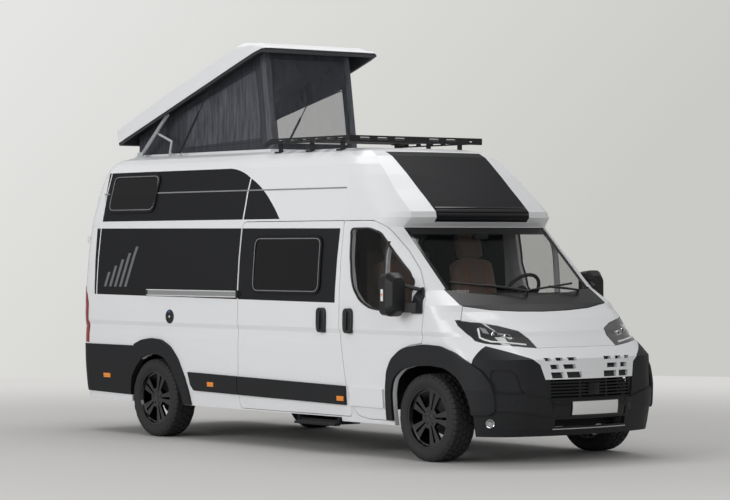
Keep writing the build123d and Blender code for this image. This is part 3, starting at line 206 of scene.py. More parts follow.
# Chassis
# Welded steel in black cathodic dip paint, with cast hubs, and the engine as one block.
dipped = grained("black_dip_paint", "16171A", 0.42, 6, 0.05)
cast = grained("sand_cast_iron", "4A4A4C", 0.6, 3, 0.2, Metallic=0.7)
coat(dipped, "floor_pan", "front_subframe", "rear_axle", "lock_carrier", "roof_rack", "strut_barrels", "strut_rods")
coat(cast, "knuckle_right", "knuckle_left", "engine_block")

# Roof lift
# Laser-cut steel plate and bar in passivated zinc, which dulls to a soft grey.
zinc = grained("passivated_zinc", "CDD0D3", 0.4, 12, 0.03, "BDC0C4", "D8DADC", Metallic=0.35)
rail_metal = grained("anodised_aluminium", "C3C5C8", 0.3, 2, 0.01, Metallic=0.9)
coat(zinc, "lift_arms", "lift_braces", "lift_base_plates")
coat(rail_metal, "slide_rail")

# Wheels
# Low-pressure cast aluminium rims in gloss black lacquer, machined on the seats of their five
# bolts, and rubber all-terrain tyres with open shoulder lugs.
black_lacquer = grained("gloss_black_lacquer", "060607", 0.16, 20, 0.02, Coat_Weight=0.6)
rubber = grained("filled_tyre_rubber", "232324", 0.72, 5, 0.12, "1B1B1D", "2B2B2D")
bolt_steel = grained("phosphated_bolt_steel", "3A3B3D", 0.4, 2, 0.02, Metallic=0.8)
SIDES = (("right", -1), ("left", 1))
WHEEL_X = {"front": 2.2335, "rear": -1.8015}
WHEEL_Y = 0.9155
WHEEL_Z = 0.369


def pick(piece):
    """Only that piece is selected and active."""
    bpy.ops.object.select_all(action="DESELECT")
    piece.select_set(True)
    bpy.context.view_layer.objects.active = piece


def started(name, step, **settings):
    """A new object by that name, made by that step."""
    bpy.ops.object.select_all(action="DESELECT")
    step(**settings)
    bpy.context.object.name = name
    return bpy.context.object


def on_mesh(step, **settings):
    """A step of mesh editing on the whole of the active piece."""
    bpy.ops.object.mode_set(mode="EDIT")
    bpy.ops.mesh.select_all(action="SELECT")
    step(**settings)
    bpy.ops.object.mode_set(mode="OBJECT")


def wear(piece, material, body, smooth=35):
    """The piece takes its material, soft shading and a place in its mesh, and rides on that body."""
    pick(piece)
    bpy.ops.object.transform_apply(location=True, rotation=True, scale=True)
    bpy.ops.object.shade_smooth_by_angle(angle=math.radians(smooth))
    if material:
        piece.data.materials.clear()
        piece.data.materials.append(material)
    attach(piece, body)
    return piece


def finish_with(piece, kind, **settings):
    """A modifier is added and applied."""
    bpy.context.view_layer.objects.active = piece
    bpy.ops.object.modifier_add(type=kind)
    for key, value in settings.items():
        setattr(piece.modifiers[-1], key, value)
    bpy.ops.object.modifier_apply(modifier=piece.modifiers[-1].name)


def drawn_line(name, points, closed=False):
    """A chain of edges through points, made from a curve."""
    piece = started(name, bpy.ops.object.add, type="CURVE")
    piece.data.dimensions = "3D"
    line = piece.data.splines.new("POLY")
    line.points.add(len(points) - 1)
    for point, place in zip(line.points, points):
        point.co = (*place, 1)
    line.use_cyclic_u = closed
    return piece


def turned(name, profile, at, axis, steps=32, closed=False):
    """A piece turned about an axis through a point, from radius and height pairs in mm."""
    drawn_line(name, [(r / 1000, 0, h / 1000) for r, h in profile], closed)
    bpy.ops.object.convert(target="MESH")
    piece = bpy.context.object
    on_mesh(bpy.ops.mesh.spin, steps=steps, angle=2 * math.pi, center=(0, 0, 0), axis=(0, 0, 1))
    on_mesh(bpy.ops.mesh.remove_doubles, threshold=0.00001)
    on_mesh(bpy.ops.mesh.normals_make_consistent, inside=False)
    piece.rotation_euler = Vector(axis).to_track_quat("Z", "Y").to_euler()
    piece.location = at
    return piece


def moulding(name, low, high, edge):
    """A block between two corners, with rounded edges."""
    middle = [(a + b) / 2 for a, b in zip(low, high)]
    piece = started(name, bpy.ops.mesh.primitive_cube_add, size=1, location=middle)
    piece.scale = [b - a for a, b in zip(low, high)]
    bpy.ops.object.transform_apply(location=True, rotation=False, scale=True)
    on_mesh(bpy.ops.mesh.bevel, offset=edge, segments=2, affect="EDGES")
    return piece


def joined(pieces):
    """One object of several."""
    bpy.ops.object.select_all(action="DESELECT")
    for piece in pieces:
        piece.select_set(True)
    bpy.context.view_layer.objects.active = pieces[0]
    bpy.ops.object.join()
    return bpy.context.object


half = [(251, 99), (251, 107), (258, 112), (262, 117), (268, 117), (272, 120), (300, 126.5), (322, 127), (338, 122),
        (350, 110), (358, 92), (360, 50), (360.5, 0)]
lining = [(335, -108), (350, -80), (352, 0), (350, 80), (335, 108), (300, 118), (270, 110)]
outside = half + [(r, -w) for r, w in half[-2::-1]] + [(270, -110), (300, -118)]
tyre = turned("tyre", outside + lining, (0, 0, 0), (0, 1, 0), steps=64, closed=True)
lugs = []
for row, (y, width, length, start, count) in enumerate((
        (-0.052, 0.040, 0.046, 0, 36), (0, 0.038, 0.048, 0.5, 36), (0.052, 0.040, 0.046, 0, 36))):
    lug = moulding("lug", (-length / 2, y - width / 2, 0.352), (length / 2, y + width / 2, 0.3688), 0.003)
    for vertex in lug.data.vertices:
        vertex.co.x += (vertex.co.y - y) * (0.35 if row != 1 else -0.35)
    lugs.append((lug, start, count))
for side in (-1, 1):
    for start, width, low in ((0.25, 0.050, 0.329), (0.75, 0.040, 0.340)):
        lug = moulding("shoulder_lug", (-0.021, 0, low), (0.021, width, 0.3682), 0.0035)
        for vertex in lug.data.vertices:
            far = vertex.co.y / width
            drop = (0.3682 - vertex.co.z) / (0.3682 - low)
            vertex.co.y = side * (0.0775 + (0.026 + 0.0235 * drop) * far)
            vertex.co.z -= 0.003 * far
        lugs.append((lug, start, 24))
        if side < 0:
            pick(lug)
            on_mesh(bpy.ops.mesh.normals_make_consistent, inside=False)
for lug, start, count in lugs:
    pick(lug)
    turn = 2 * math.pi / count
    on_mesh(bpy.ops.mesh.spin, steps=count - 1, dupli=True, angle=turn * (count - 1), center=(0, 0, 0),
            axis=(0, 1, 0))
    lug.rotation_euler = (0, turn * start, 0)
    bpy.ops.object.transform_apply(location=True, rotation=True, scale=True)
tyre = joined([tyre] + [lug for lug, start, count in lugs])

for end in ("front", "rear"):
    for side, sign in SIDES:
        wheel = "wheel_%s_%s" % (end, side)
        rim = "rim_%s_%s" % (end, side)
        hub = Vector((WHEEL_X[end], sign * WHEEL_Y, WHEEL_Z))
        coat(black_lacquer, rim)
        pick(tyre)
        bpy.ops.object.duplicate(linked=False)
        copy = bpy.context.object
        copy.name = "tread_%s_%s" % (end, side)
        copy.location = hub
        wear(copy, rubber, wheel, smooth=25)
        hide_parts("tyre_%s_%s" % (end, side))
        out = Vector((0, sign, 0))
        found, face = NODES[rim].ray_cast(hub + out * 0.4 + Vector((0.012, 0, 0)), -out)[:2]
        profile = [(0, 3.5), (14, 3.2), (24, 2.4), (29, 0.8), (31, -2), (31, -8), (0, -8)]
        cap = turned("centre_cap_%s_%s" % (end, side), profile, (hub.x, face.y, hub.z), out, steps=32)
        wear(cap, black_lacquer, wheel)
        bolts = []
        for k in range(5):
            angle = math.radians(72 * k + 90)
            at = hub + Vector((math.cos(angle) * 0.059, 0, math.sin(angle) * 0.059))
            found, face = NODES[rim].ray_cast(at + out * 0.4, -out)[:2]
            bolts.append(turned("bolt", [(0, 5), (6.5, 5), (9, 4), (9.5, 0), (9.5, -6), (0, -6)],
                                (at.x, face.y if found else hub.y, at.z), out, steps=6))
        wear(joined(bolts), bolt_steel, wheel, smooth=20).name = "wheel_bolts_%s_%s" % (end, side)
bpy.data.objects.remove(tyre)

# Seams, rail and service fittings on the sides
# A polyurethane seam closes the joint between the steel sides and the high roof. The sliding
# door runs in a rolled steel rail with polished lips, and the water filler has a locked cap.
seam_grey = grained("polyurethane_seam_sealant", "85878B", 0.5, 5, 0.04)
gloss_black = grained("polished_black_abs", "050507", 0.08, 120, 0.03, Specular_IOR_Level=0.4)
satin_black = grained("spark_eroded_black_abs", "17181A", 0.42, 3, 0.05, "141517", "1C1D20")
blue_cap = grained("dyed_blue_abs", "2A5C93", 0.35, 4, 0.04)
amber = grained("amber_acrylic", "F28A18", 0.12, 12, 0.3, "E87408", "FFA52A", Coat_Weight=0.6)
polished = grained("polished_rolled_steel", "E4E4E2", 0.28, 6, 0.02, Metallic=0.2)


# Rays that look for the skin start this far out
BESIDE = 1.6
AHEAD = 3.6


def skin(names, start, toward):
    """The point and normal where a ray first meets those CAD nodes."""
    first = None
    for name in names:
        found, point, normal = NODES[name].ray_cast(Vector(start), Vector(toward))[:3]
        if found and (first is None or (point - Vector(start)).length < (first[0] - Vector(start)).length):
            first = (point, normal)
    return first


def bead(name, points, thick, closed=False, on=(), toward=(0, 0, 0), lift=0.0, flat=3):
    """A round strip along points, which drop on the CAD skin first if its nodes are named."""
    toward = Vector(toward)
    points = [Vector(point) for point in points]
    met = [skin(on, point, toward) if on else (point, None) for point in points]
    reach = next((hit[0] - point).dot(toward) for hit, point in zip(met, points) if hit)
    depths = []
    for point, hit in zip(points, met):
        if hit and (hit[0] - point).dot(toward) < reach + 0.02:
            reach = (hit[0] - point).dot(toward)
        depths.append(reach)
    for k in range(8 if closed and on else 0):
        depths = [(depths[i - 1] + 2 * depths[i] + depths[(i + 1) % len(depths)]) / 4 for i in range(len(depths))]
    points = [point + toward * (depth - lift) for point, depth in zip(points, depths)]
    piece = drawn_line(name, points, closed)
    piece.data.bevel_depth = thick / 2
    piece.data.bevel_resolution = flat
    piece.data.use_fill_caps = not closed
    bpy.ops.object.convert(target="MESH")
    return bpy.context.object


def laid(name, first, second, on, toward, proud, across=1, sunk=0.003, step=0.06):
    """A thin moulding between two edges, dropped on the CAD skin and given its thickness."""
    toward = Vector(toward)
    first, second = [Vector(p) for p in first], [Vector(p) for p in second]
    rows = []
    for i in range(len(first) - 1):
        count = max(1, round(max((first[i + 1] - first[i]).length, (second[i + 1] - second[i]).length) / step))
        for k in range(count):
            rows.append((first[i].lerp(first[i + 1], k / count), second[i].lerp(second[i + 1], k / count)))
    rows.append((first[-1], second[-1]))
    cells = {"x_subdivisions": across, "y_subdivisions": len(rows) - 1}
    piece = started(name, bpy.ops.mesh.primitive_grid_add, size=2, **cells)
    points = sorted(piece.data.vertices, key=lambda v: (round(v.co.y, 4), v.co.x))
    depth = 0
    for i, point in enumerate(points):
        a, b = rows[i // (across + 1)]
        start = a.lerp(b, (i % (across + 1)) / across)
        met = skin(on, start, toward)
        if met:
            depth = (met[0] - start).dot(toward)
        point.co = start + toward * (depth - proud)
    piece.data.update()
    if piece.data.polygons[0].normal.dot(toward) > 0:
        on_mesh(bpy.ops.mesh.flip_normals)
    finish_with(piece, "SOLIDIFY", thickness=proud + sunk, offset=-1)
    if proud > 0.0015:
        finish_with(piece, "BEVEL", width=0.0012, segments=2, limit_method="ANGLE")
    return piece


def panel_on(name, span, rise, on, toward, proud, **more):
    """A laid moulding with square corners, from its span and its rise on one side of the van."""
    edges = []
    for z in rise:
        edges.append([(at, -BESIDE * toward[1], z) if toward[1] else (-AHEAD * toward[0], at, z) for at in span])
    return laid(name, *edges, on, toward, proud, **more)


def rounded(corners, radius, steps=6):
    """A closed path round corners that are softened by that radius, with points between."""
    path = []
    for i, corner in enumerate(corners):
        here = Vector(corner)
        back, ahead = Vector(corners[i - 1]) - here, Vector(corners[(i + 1) % len(corners)]) - here
        start, end = here + back.normalized() * radius, here + ahead.normalized() * radius
        for k in range(steps + 1):
            t = k / steps
            path.append(start * (1 - t) ** 2 + here * 2 * t * (1 - t) + end * t ** 2)
        far = here + ahead - ahead.normalized() * radius
        for k in range(1, 8):
            path.append(end.lerp(far, k / 8))
    return path


SKIN = {side: ["body_side_" + side, "front_door_" + side, "cab_front", "rub_strips", "arch_trims", "rear_bumper",
               "front_bumper"] + (["sliding_door"] if side == "right" else []) for side in ("right", "left")}
for side, sign in SIDES:
    inward = (0, -sign, 0)
    y = sign * BESIDE
    seam = panel_on("roof_seam_" + side, (-2.860, 0.99), (2.316, 2.328), SKIN[side], inward, 0.004)
    wear(seam, seam_grey, "body")
    for x, z, half in ((-2.6235, 0.555, 0.058), (-0.882, 0.530, 0.048), (1.061, 0.483, 0.048)):
        rise = (z - 0.021, z + 0.021)
        marker = panel_on("side_marker_" + side, (x - half, x + half), rise, SKIN[side], inward, 0.006)
        wear(marker, amber, "body")
    fittings = [("handle_front_door_" + side, 1.172, "door_" + side)]
    if side == "right":
        fittings.append(("handle_sliding_door", 0.793, "body"))
    for name, x, body in fittings:
        face = skin(SKIN[side], (x, y, 1.155), inward)[0].y + sign * 0.010
        profile = [(0, 1.5), (20, 1.5), (24, 2), (28, 5), (32, 5), (35, 2), (36, -4), (36, -32), (0, -32)]
        cup = turned(name + "_cup", profile, (x, face, 1.160), (0, sign, 0), steps=48)
        for vertex in cup.data.vertices:
            away = vertex.co.xy.length
            if away:
                across, along = vertex.co.xy / away
                vertex.co.xy *= (across ** 4 + along ** 4) ** -0.25
        cup.scale = (1.75, 3.05, 1)
        low, high = sorted((face, face + sign * 0.015))
        grip = moulding(name, (x - 0.020, low, 1.078), (x + 0.006, high, 1.242), 0.006)
        wear(cup, satin_black, body)
        wear(grip, dark_moulded, body)

for x in (-1.934, -0.471):
    wear(moulding("rail_end_cap", (x - 0.012, -1.036, 1.336), (x + 0.012, -1.014, 1.406), 0.005), satin_black, "body")
inlet = skin(SKIN["right"], (-1.550, -BESIDE, 1.146), (0, 1, 0))[0]
profile = [(0, 5), (14, 5), (16, 7), (22, 7), (24, 3), (44, 3), (48, 8), (60, 8), (65, 5), (66, 0), (66, -4), (0, -4)]
cap = turned("water_filler", profile, inlet, (0, -1, 0), 48)
wear(cap, satin_black, "body")
barrel = turned("water_filler_lock", [(0, 8), (9, 8), (11, 7), (11, 3), (0, 3)], inlet, (0, -1, 0), 32)
wear(barrel, polished, "body")
spot = moulding("water_filler_mark", (-1.570, inlet.y - 0.0105, 1.183), (-1.530, inlet.y - 0.004, 1.202), 0.003)
wear(spot, blue_cap, "body")
for z in (1.345, 1.397):
    wear(bead("rail_lip", [(-1.925, -1.0345, z), (-0.480, -1.0345, z)], 0.011), polished, "body")
for name, x, z, half, high in (("fuel_flap", 0.86, 0.86, 0.085, 0.085), ("mains_inlet", -2.45, 0.98, 0.062, 0.070),
                               ("toilet_hatch", -1.05, 0.86, 0.19, 0.16)):
    flap = panel_on(name, (x - half, x + half), (z - high, z + high), SKIN["left"], (0, -1, 0), 0.004)
    wear(flap, white_enamel, "body")
    edge = rounded([(x - half, z - high), (x + half, z - high), (x + half, z + high), (x - half, z + high)], 0.02)
    edge = bead(name + "_edge", [(p.x, BESIDE, p.y) for p in edge], 0.007, True, SKIN["left"], (0, -1, 0))
    wear(edge, satin_black, "body")

# Film design on the rear quarter
# Five slanted bars cut from grey film, which shorten towards the rear and stand on one line.
# It is a plain generic design.
grey_film = grained("grey_vinyl_film", "6B6D71", 0.45, 8, 0.01, "66686C", "717377")
for side, sign in SIDES:
    for k in range(5):
        x, top = -2.690 + 0.088 * k, 1.560 + 0.062 * k
        lean = (top - 1.42) * 0.42
        shape = ([(x, sign * BESIDE, 1.420), (x + lean, sign * BESIDE, top)],
                 [(x + 0.042, sign * BESIDE, 1.420), (x + lean + 0.042, sign * BESIDE, top)])
        bar = laid("film_bar_%s_%d" % (side, k), *shape, ["body_side_" + side], (0, -sign, 0), 0.0012, sunk=0.001)
        wear(bar, grey_film, "body")

# Window frames
# Each acrylic pane is hinged in a polyurethane frame, whose grey rubber seal shows as a thin
# bead all round.
seal_grey = grained("extruded_grey_seal", "77797D", 0.45, 3, 0.03)
PANES = [("slider_window", -0.255, 0.765, 1.383, 1.903, -1), ("window_right", -2.750, -1.934, 2.137, 2.512, -1),
         ("windows_left", -0.255, 0.765, 1.383, 1.903, 1), ("windows_left", -2.750, -1.934, 2.137, 2.512, 1)]
for k, (node, x0, x1, z0, z1, sign) in enumerate(PANES):
    x0, x1, z0, z1 = x0 + 0.028, x1 - 0.028, z0 + 0.026, z1 - 0.026
    edge = rounded([(x0, z0), (x1, z0), (x1, z1), (x0, z1)], 0.07)
    seal = bead("pane_seal_%d" % k, [(p.x, sign * BESIDE, p.y) for p in edge], 0.010, True, [node], (0, -sign, 0))
    wear(seal, seal_grey, "body")
for side, sign in SIDES:
    edge = rounded([(sign * 0.126, 1.416), (sign * 0.764, 1.416), (sign * 0.764, 1.904), (sign * 0.126, 1.904)], 0.07)
    points = [(-AHEAD, p.x, p.y) for p in edge]
    seal = bead("rear_pane_seal_" + side, points, 0.010, True, ["rear_window_" + side], (1, 0, 0))
    wear(seal, seal_grey, "tail_door_" + side)

# Windscreen borders and wipers
# A black ceramic band is fired on the glass to hide its glue line. Two arms in black steel
# press flat blades on the glass, and park along its lower edge above a black cowl.
frit = grained("fired_ceramic_band", "0A0A0B", 0.1, 40, 0.02)
GLASS = ["windscreen"]
DOOR_WINDOW = [(1.1535, 1.960), (1.4005, 1.962), (1.5335, 1.925), (1.7535, 1.738), (1.9335, 1.590), (2.0185, 1.500),
               (2.0185, 1.285), (1.6135, 1.262), (1.4535, 1.279), (1.3375, 1.329), (1.2335, 1.430), (1.1735, 1.650)]
coat(satin_black, "cowl")
for name, first, second in (
        ("header_band", [(AHEAD, -0.805, 1.964), (AHEAD, 0.805, 1.964)],
         [(AHEAD, -0.805, 1.908), (AHEAD, 0.805, 1.908)]),
        ("side_band_right", [(AHEAD, -0.818, 1.436), (AHEAD, -0.806, 1.964)],
         [(AHEAD, -0.778, 1.420), (AHEAD, -0.770, 1.964)]),
        ("side_band_left", [(AHEAD, 0.818, 1.436), (AHEAD, 0.806, 1.964)],
         [(AHEAD, 0.778, 1.420), (AHEAD, 0.770, 1.964)])):
    wear(laid(name, first, second, GLASS, (-1, 0, 0), 0.0008, across=2, sunk=0.001, step=0.04), frit, "body")
for name, y0, z0, y1, z1, pivot in (("right", -0.735, 1.500, -0.070, 1.432, (-0.02, 1.392)),
                                    ("left", -0.015, 1.418, 0.640, 1.478, (0.60, 1.392))):
    points = [(AHEAD, y0 + (y1 - y0) * k / 12, z0 + (z1 - z0) * k / 12) for k in range(13)]
    wear(bead("wiper_blade_" + name, points, 0.018, False, GLASS, (-1, 0, 0), 0.010), satin_black, "body")
    rest = skin(GLASS, ((AHEAD, (y0 + y1) / 2, (z0 + z1) / 2)), (-1, 0, 0))[0] + Vector((0.022, 0, 0.006))
    foot = skin(["cowl"], (AHEAD, pivot[0], pivot[1]), (-1, 0, 0))
    foot = foot[0] if foot else Vector((2.36, pivot[0], pivot[1]))
    bend = foot.lerp(rest, 0.5) + Vector((0.024, 0, 0.016))
    arm = bead("wiper_arm_" + name, [foot, foot + Vector((0.020, 0, 0.030)), bend, rest], 0.022)
    wear(arm, satin_black, "body")
    nut = turned("wiper_nut_" + name, [(0, 14), (9, 14), (16, 8), (18, -6), (0, -6)], foot, (0.5, 0, 0.86), 24)
    wear(nut, satin_black, "body")
for side, sign in SIDES:
    panes, body = ["front_door_" + side, "door_glass_" + side], "door_" + side
    bar = laid("glass_divider_" + side, [(1.6345, sign * BESIDE, 1.270), (1.6345, sign * BESIDE, 1.850)],
               [(1.6625, sign * BESIDE, 1.270), (1.6625, sign * BESIDE, 1.850)], panes, (0, -sign, 0), 0.003)
    wear(bar, satin_black, body)
    points = [(p.x, sign * BESIDE, p.y) for p in rounded(DOOR_WINDOW, 0.035)]
    rubber_edge = bead("door_glass_seal_" + side, points, 0.020, True, panes, (0, -sign, 0), 0.004)
    wear(rubber_edge, satin_black, body)
wear(moulding("camera_housing", (1.700, -0.075, 1.862), (1.765, 0.075, 1.925), 0.012), satin_black, "body")

# Mirrors
# Two silvered panes in each head, the lower one more curved, and an amber repeater on the
# head's outer edge.
light_guide = grained("milky_acrylic_light_guide", "F4F5F6", 0.25, 6, 0.05, Coat_Weight=0.5)
silvered = grained("silvered_mirror_glass", "C9CDD1", 0.03, 300, 0.01, Metallic=1.0)
for side, sign in SIDES:
    node, body = ["mirror_" + side], "door_" + side
    for name, z0, z1 in (("upper", 1.405, 1.545), ("lower", 1.258, 1.385)):
        pane = laid("mirror_pane_%s_%s" % (name, side), [(1.4, sign * 1.075, z0), (1.4, sign * 1.215, z0)],
                    [(1.4, sign * 1.075, z1), (1.4, sign * 1.215, z1)], node, (1, 0, 0), 0.002, across=3)
        wear(pane, silvered, body)
    for name, x0, x1, z0, z1, proud in (("clear", 1.893, 1.925, 1.345, 1.445, 0.004),
                                        ("amber", 1.900, 1.918, 1.385, 1.412, 0.006)):
        lamp = laid("repeater_%s_%s" % (name, side), [(x0, sign * BESIDE, z0), (x0, sign * BESIDE, z1)],
                    [(x1, sign * BESIDE, z0), (x1, sign * BESIDE, z1)], node, (0, -sign, 0), proud)
        wear(lamp, amber if name == "amber" else light_guide, body)

# Head lamps and fog lamps
# A light guide in milky acrylic runs round the cover's lower edge, with two projector lenses
# in bright bezels above it. The fog lamps sit low in the bumper in plated rings.
plated = grained("chromed_abs", "D6D8DB", 0.1, 80, 0.01, Metallic=1.0)
clear_lens = grained("clear_acrylic_lens", "C9CBCD", 0.1, 5, 0.2, "BFC1C3", "D6D8DA", Coat_Weight=0.6)
projector = grained("polycarbonate_projector_lens", "24272C", 0.03, 30, 0.02, Coat_Weight=1.0)
for side, sign in SIDES:
    guide = [(2.658, 0.830, 1.120), (2.690, 0.846, 1.078), (2.712, 0.856, 1.048), (2.745, 0.838, 1.030),
             (2.796, 0.805, 1.016), (2.860, 0.668, 1.000), (2.919, 0.531, 0.988)]
    points = []
    for x, y, z in guide:
        out = Vector((0.75, sign * 0.55, 0.35)).normalized()
        met = skin(["lamps_front"], Vector((x, sign * y, z)) + out * 0.3, -out)
        points.append(met[0] if met else Vector((x, sign * y, z)))
    wear(bead("light_guide_" + side, points, 0.018), light_guide, "body")
    for k, (y0, y1, z0, z1) in enumerate(((0.600, 0.700, 1.058, 1.072), (0.600, 0.690, 1.036, 1.048),
                                          (0.775, 0.815, 1.075, 1.120))):
        fin = laid("reflector_%s_%d" % (side, k), [(AHEAD, sign * y0, z0), (AHEAD, sign * y1, z0 + 0.012)],
                   [(AHEAD, sign * y0, z1), (AHEAD, sign * y1, z1 + 0.014)], ["lamps_front"], (-1, 0, 0), 0.0015,
                   across=2, sunk=0.002)
        wear(fin, plated, "body")
    for k, (y, z, r) in enumerate(((0.735, 1.068, 30), (0.640, 1.050, 27))):
        met = skin(["lamps_front"], (AHEAD, sign * y, z), (-1, 0, 0))
        if met:
            axis = Vector((0.9, sign * 0.35, 0.15))
            profile = [(0, 5), (r * 0.4, 4), (r * 0.75, 1), (r * 0.8, -6), (0, -6)]
            wear(turned("projector_%s_%d" % (side, k), profile, met[0], axis, 32), projector, "body")
            profile = [(r * 0.8, -2), (r * 0.86, 3), (r, 2), (r * 1.04, -4), (r * 0.8, -6)]
            bezel = turned("bezel_%s_%d" % (side, k), profile, met[0], axis, 32, closed=True)
            wear(bezel, plated, "body")
    axis = Vector((0.74, sign * 0.67, 0))
    at = Vector((2.8485, sign * 0.868, 0.345)) + axis.normalized() * 0.008
    profile = [(30, -2), (31, 5), (36, 7), (43, 3), (45, -5), (38, -8)]
    ring = turned("fog_ring_" + side, profile, at, axis, 48, closed=True)
    wear(ring, plated, "body")
    lens = turned("fog_lens_" + side, [(0, 5), (14, 4), (26, 1), (31, -3), (31, -6), (0, -6)], at, axis, 40)
    wear(lens, clear_lens, "body")

# Bonnet seal
# A black rubber seal closes the gap between the bonnet's front edge and the grille panel.
edge = []
for k in range(25):
    y, z = -0.445 + 0.0371 * k, 0.930
    while z < 1.06 and not skin(["bonnet"], (AHEAD, y, z), (-1, 0, 0)):
        z += 0.002
    edge.append(skin(["bonnet"], (AHEAD, y, z), (-1, 0, 0))[0] + Vector((-0.001, 0, -0.010)))
wear(bead("bonnet_seal", edge, 0.017), rubber, "body")

# Front bumper trim
# A gloss black panel carries the blank number plate in its holder. Below it are the cooling
# intake with its slats and a bright strip, and round sensors are set flush in the skin.
reflective = grained("retroreflective_plate_film", "DCDDDC", 0.35, 1.5, 0.02, "D6D7D6", "E2E3E2")
FRONT = ["front_bumper", "mesh_grille", "grille_panel"]
panel = laid("bumper_panel", [(AHEAD, -0.455, 0.532), (AHEAD, 0.455, 0.532)],
             [(AHEAD, -0.430, 0.386), (AHEAD, 0.430, 0.386)],
             FRONT, (-1, 0, 0), 0.003, across=3)
wear(panel, gloss_black, "body")
holder = panel_on("plate_holder", (-0.251, 0.283), (0.526, 0.392), FRONT, (-1, 0, 0), 0.010, across=2)
wear(holder, satin_black, "body")
plate = panel_on("number_plate_front", (-0.243, 0.275), (0.516, 0.406), FRONT, (-1, 0, 0), 0.012,
                 across=2, sunk=-0.002)
wear(plate, reflective, "body")
points = [(AHEAD, -0.415 + 0.083 * k, 0.291) for k in range(11)]
wear(bead("intake_strip", points, 0.011, False, ["front_bumper"], (-1, 0, 0)), plated, "body")
for k in range(2):
    points = [(3.045 - 0.03 * (abs(j - 5) / 5) ** 2, -0.40 + 0.08 * j, 0.329 + 0.022 * k) for j in range(11)]
    wear(bead("intake_slat_%d" % k, points, 0.009), satin_black, "body")
for name, nodes, start, toward in (
        [("front_%d" % k, FRONT, (AHEAD, y, 0.560), (-1, 0, 0)) for k, y in enumerate((-0.30, 0.30))] +
        [("corner_%d" % k, FRONT, (AHEAD, y, 0.524), (-1, 0, 0)) for k, y in enumerate((-0.785, 0.785))] +
        [("rear_%d" % k, ["rear_bumper"], (-AHEAD, y, 0.610), (1, 0, 0))
         for k, y in enumerate((-0.80, -0.36, 0.36, 0.80))]):
    met = skin(nodes, start, toward)
    if met and met[0].x > -3.3:
        axis = met[1] if met[1].dot(Vector(toward)) < 0 else -met[1]
        profile = [(0, 1.5), (9, 1.5), (10, 0.6), (11, 2), (13, 1), (13.5, -4), (0, -4)]
        wear(turned("sensor_" + name, profile, met[0], axis, 28), satin_black, "body")
backing = panel_on("grille_backing", (-0.500, 0.500), (0.890, 0.706), ["grille_panel"], (-1, 0, 0), -0.024,
                   sunk=0.028)
wear(backing, satin_black, "body")
radar = moulding("radar_cover", (3.135, -0.062, 0.566), (3.172, 0.062, 0.668), 0.006)
wear(radar, gloss_black, "body")

# Nose cap trim
# Matt black film covers the front window, over a satin band and a gloss black strip.
for name, z0, z1, proud, material in (("nose_band", 2.040, 2.128, 0.004, satin_black),
                                      ("nose_strip", 2.134, 2.146, 0.005, gloss_black)):
    piece = laid(name, [(3.2, -0.520, z1), (3.2, 0.520, z1)], [(3.2, -0.530, z0), (3.2, 0.530, z0)],
                 ["nose_panel"], (-1, 0, 0), proud, across=2)
    wear(piece, material, "body")
matt_film = grained("matt_black_film", "121317", 0.55, 30, 0.01, Specular_IOR_Level=0.15)
coat(matt_film, "nose_panel")

# Step tread
# Eight ribs of black rubber run along the electric step, so that wet shoes hold on it.
for k in range(8):
    y = -1.045 + 0.026 * k
    points = [(0.452 + 0.0365 * j, y, 0.56) for j in range(16)]
    wear(bead("step_rib_%d" % k, points, 0.009, False, ["entry_step"], (0, 0, -1)), rubber, "body")

# Tail
# Barrel hinges in painted steel carry the two doors. The right one has the lock handle and the
# left one the blank plate. The lamps wrap round the corners, with amber and clear chambers.
SLANT = 0.7071
for side, sign in SIDES:
    for k, z in enumerate((0.780, 1.500, 1.880)):
        barrel = turned("hinge_barrel_%s_%d" % (side, k), [(0, 36), (6, 36), (8, 33), (8, -33), (6, -36), (0, -36)],
                        (-3.1465, sign * 0.905, z), (0, 0, 1), 24)
        wear(barrel, white_enamel, "body")
        low, high = sorted((sign * 0.898, sign * 0.912))
        wear(moulding("hinge_foot", (-3.142, low, z - 0.030), (-3.100, high, z + 0.030), 0.002), white_enamel, "body")
        low, high = sorted((sign * 0.800, sign * 0.896))
        leaf = moulding("hinge_leaf", (-3.1515, low, z - 0.016), (-3.112, high, z + 0.016), 0.003)
        wear(leaf, white_enamel, "tail_door_" + side)
    inward, along = Vector((SLANT, -sign * SLANT, 0)), Vector((SLANT, sign * SLANT, 0))
    corner = Vector((-3.10, sign * 0.96, 0)) - inward * 0.4
    for name, inner, outer, heights, material in (
            ("upper", 0.03, (0.150, 0.130, 0.060), (1.25, 1.34, 1.42), red_lens),
            ("middle", 0.10, (0.150, 0.150, 0.150), (1.02, 1.14, 1.25), red_lens),
            ("clear", 0.03, (0.10, 0.10, 0.10), (1.02, 1.14, 1.25), clear_lens),
            ("lower", 0.03, (0.150, 0.150, 0.150), (0.87, 0.95, 1.02), red_lens)):
        first = [corner + along * inner + Vector((0, 0, z)) for z in heights]
        second = [corner + along * u + Vector((0, 0, z)) for u, z in zip(outer, heights)]
        on = ["lamps_rear", "body_side_" + side]
        wrap = laid("tail_wrap_%s_%s" % (name, side), first, second, on, inward, 0.006, across=6)
        wear(wrap, material, "body")
    for name, z0, z1, material in (("amber", 1.070, 1.190, amber), ("clear", 0.925, 1.055, clear_lens)):
        chamber = panel_on("tail_%s_%s" % (name, side), (sign * 0.890, sign * 0.985), (z0, z1), ["lamps_rear"],
                           (1, 0, 0), 0.002, across=2)
        wear(chamber, material, "body")
door = skin(["rear_door_right"], (-AHEAD, -0.075, 1.080), (1, 0, 0))[0]
base = moulding("tail_handle_base", (door.x - 0.010, -0.110, 0.985), (door.x + 0.002, -0.040, 1.180), 0.004)
wear(base, satin_black, "tail_door_right")
handle = moulding("tail_handle", (door.x - 0.034, -0.092, 1.005), (door.x - 0.006, -0.058, 1.160), 0.011)
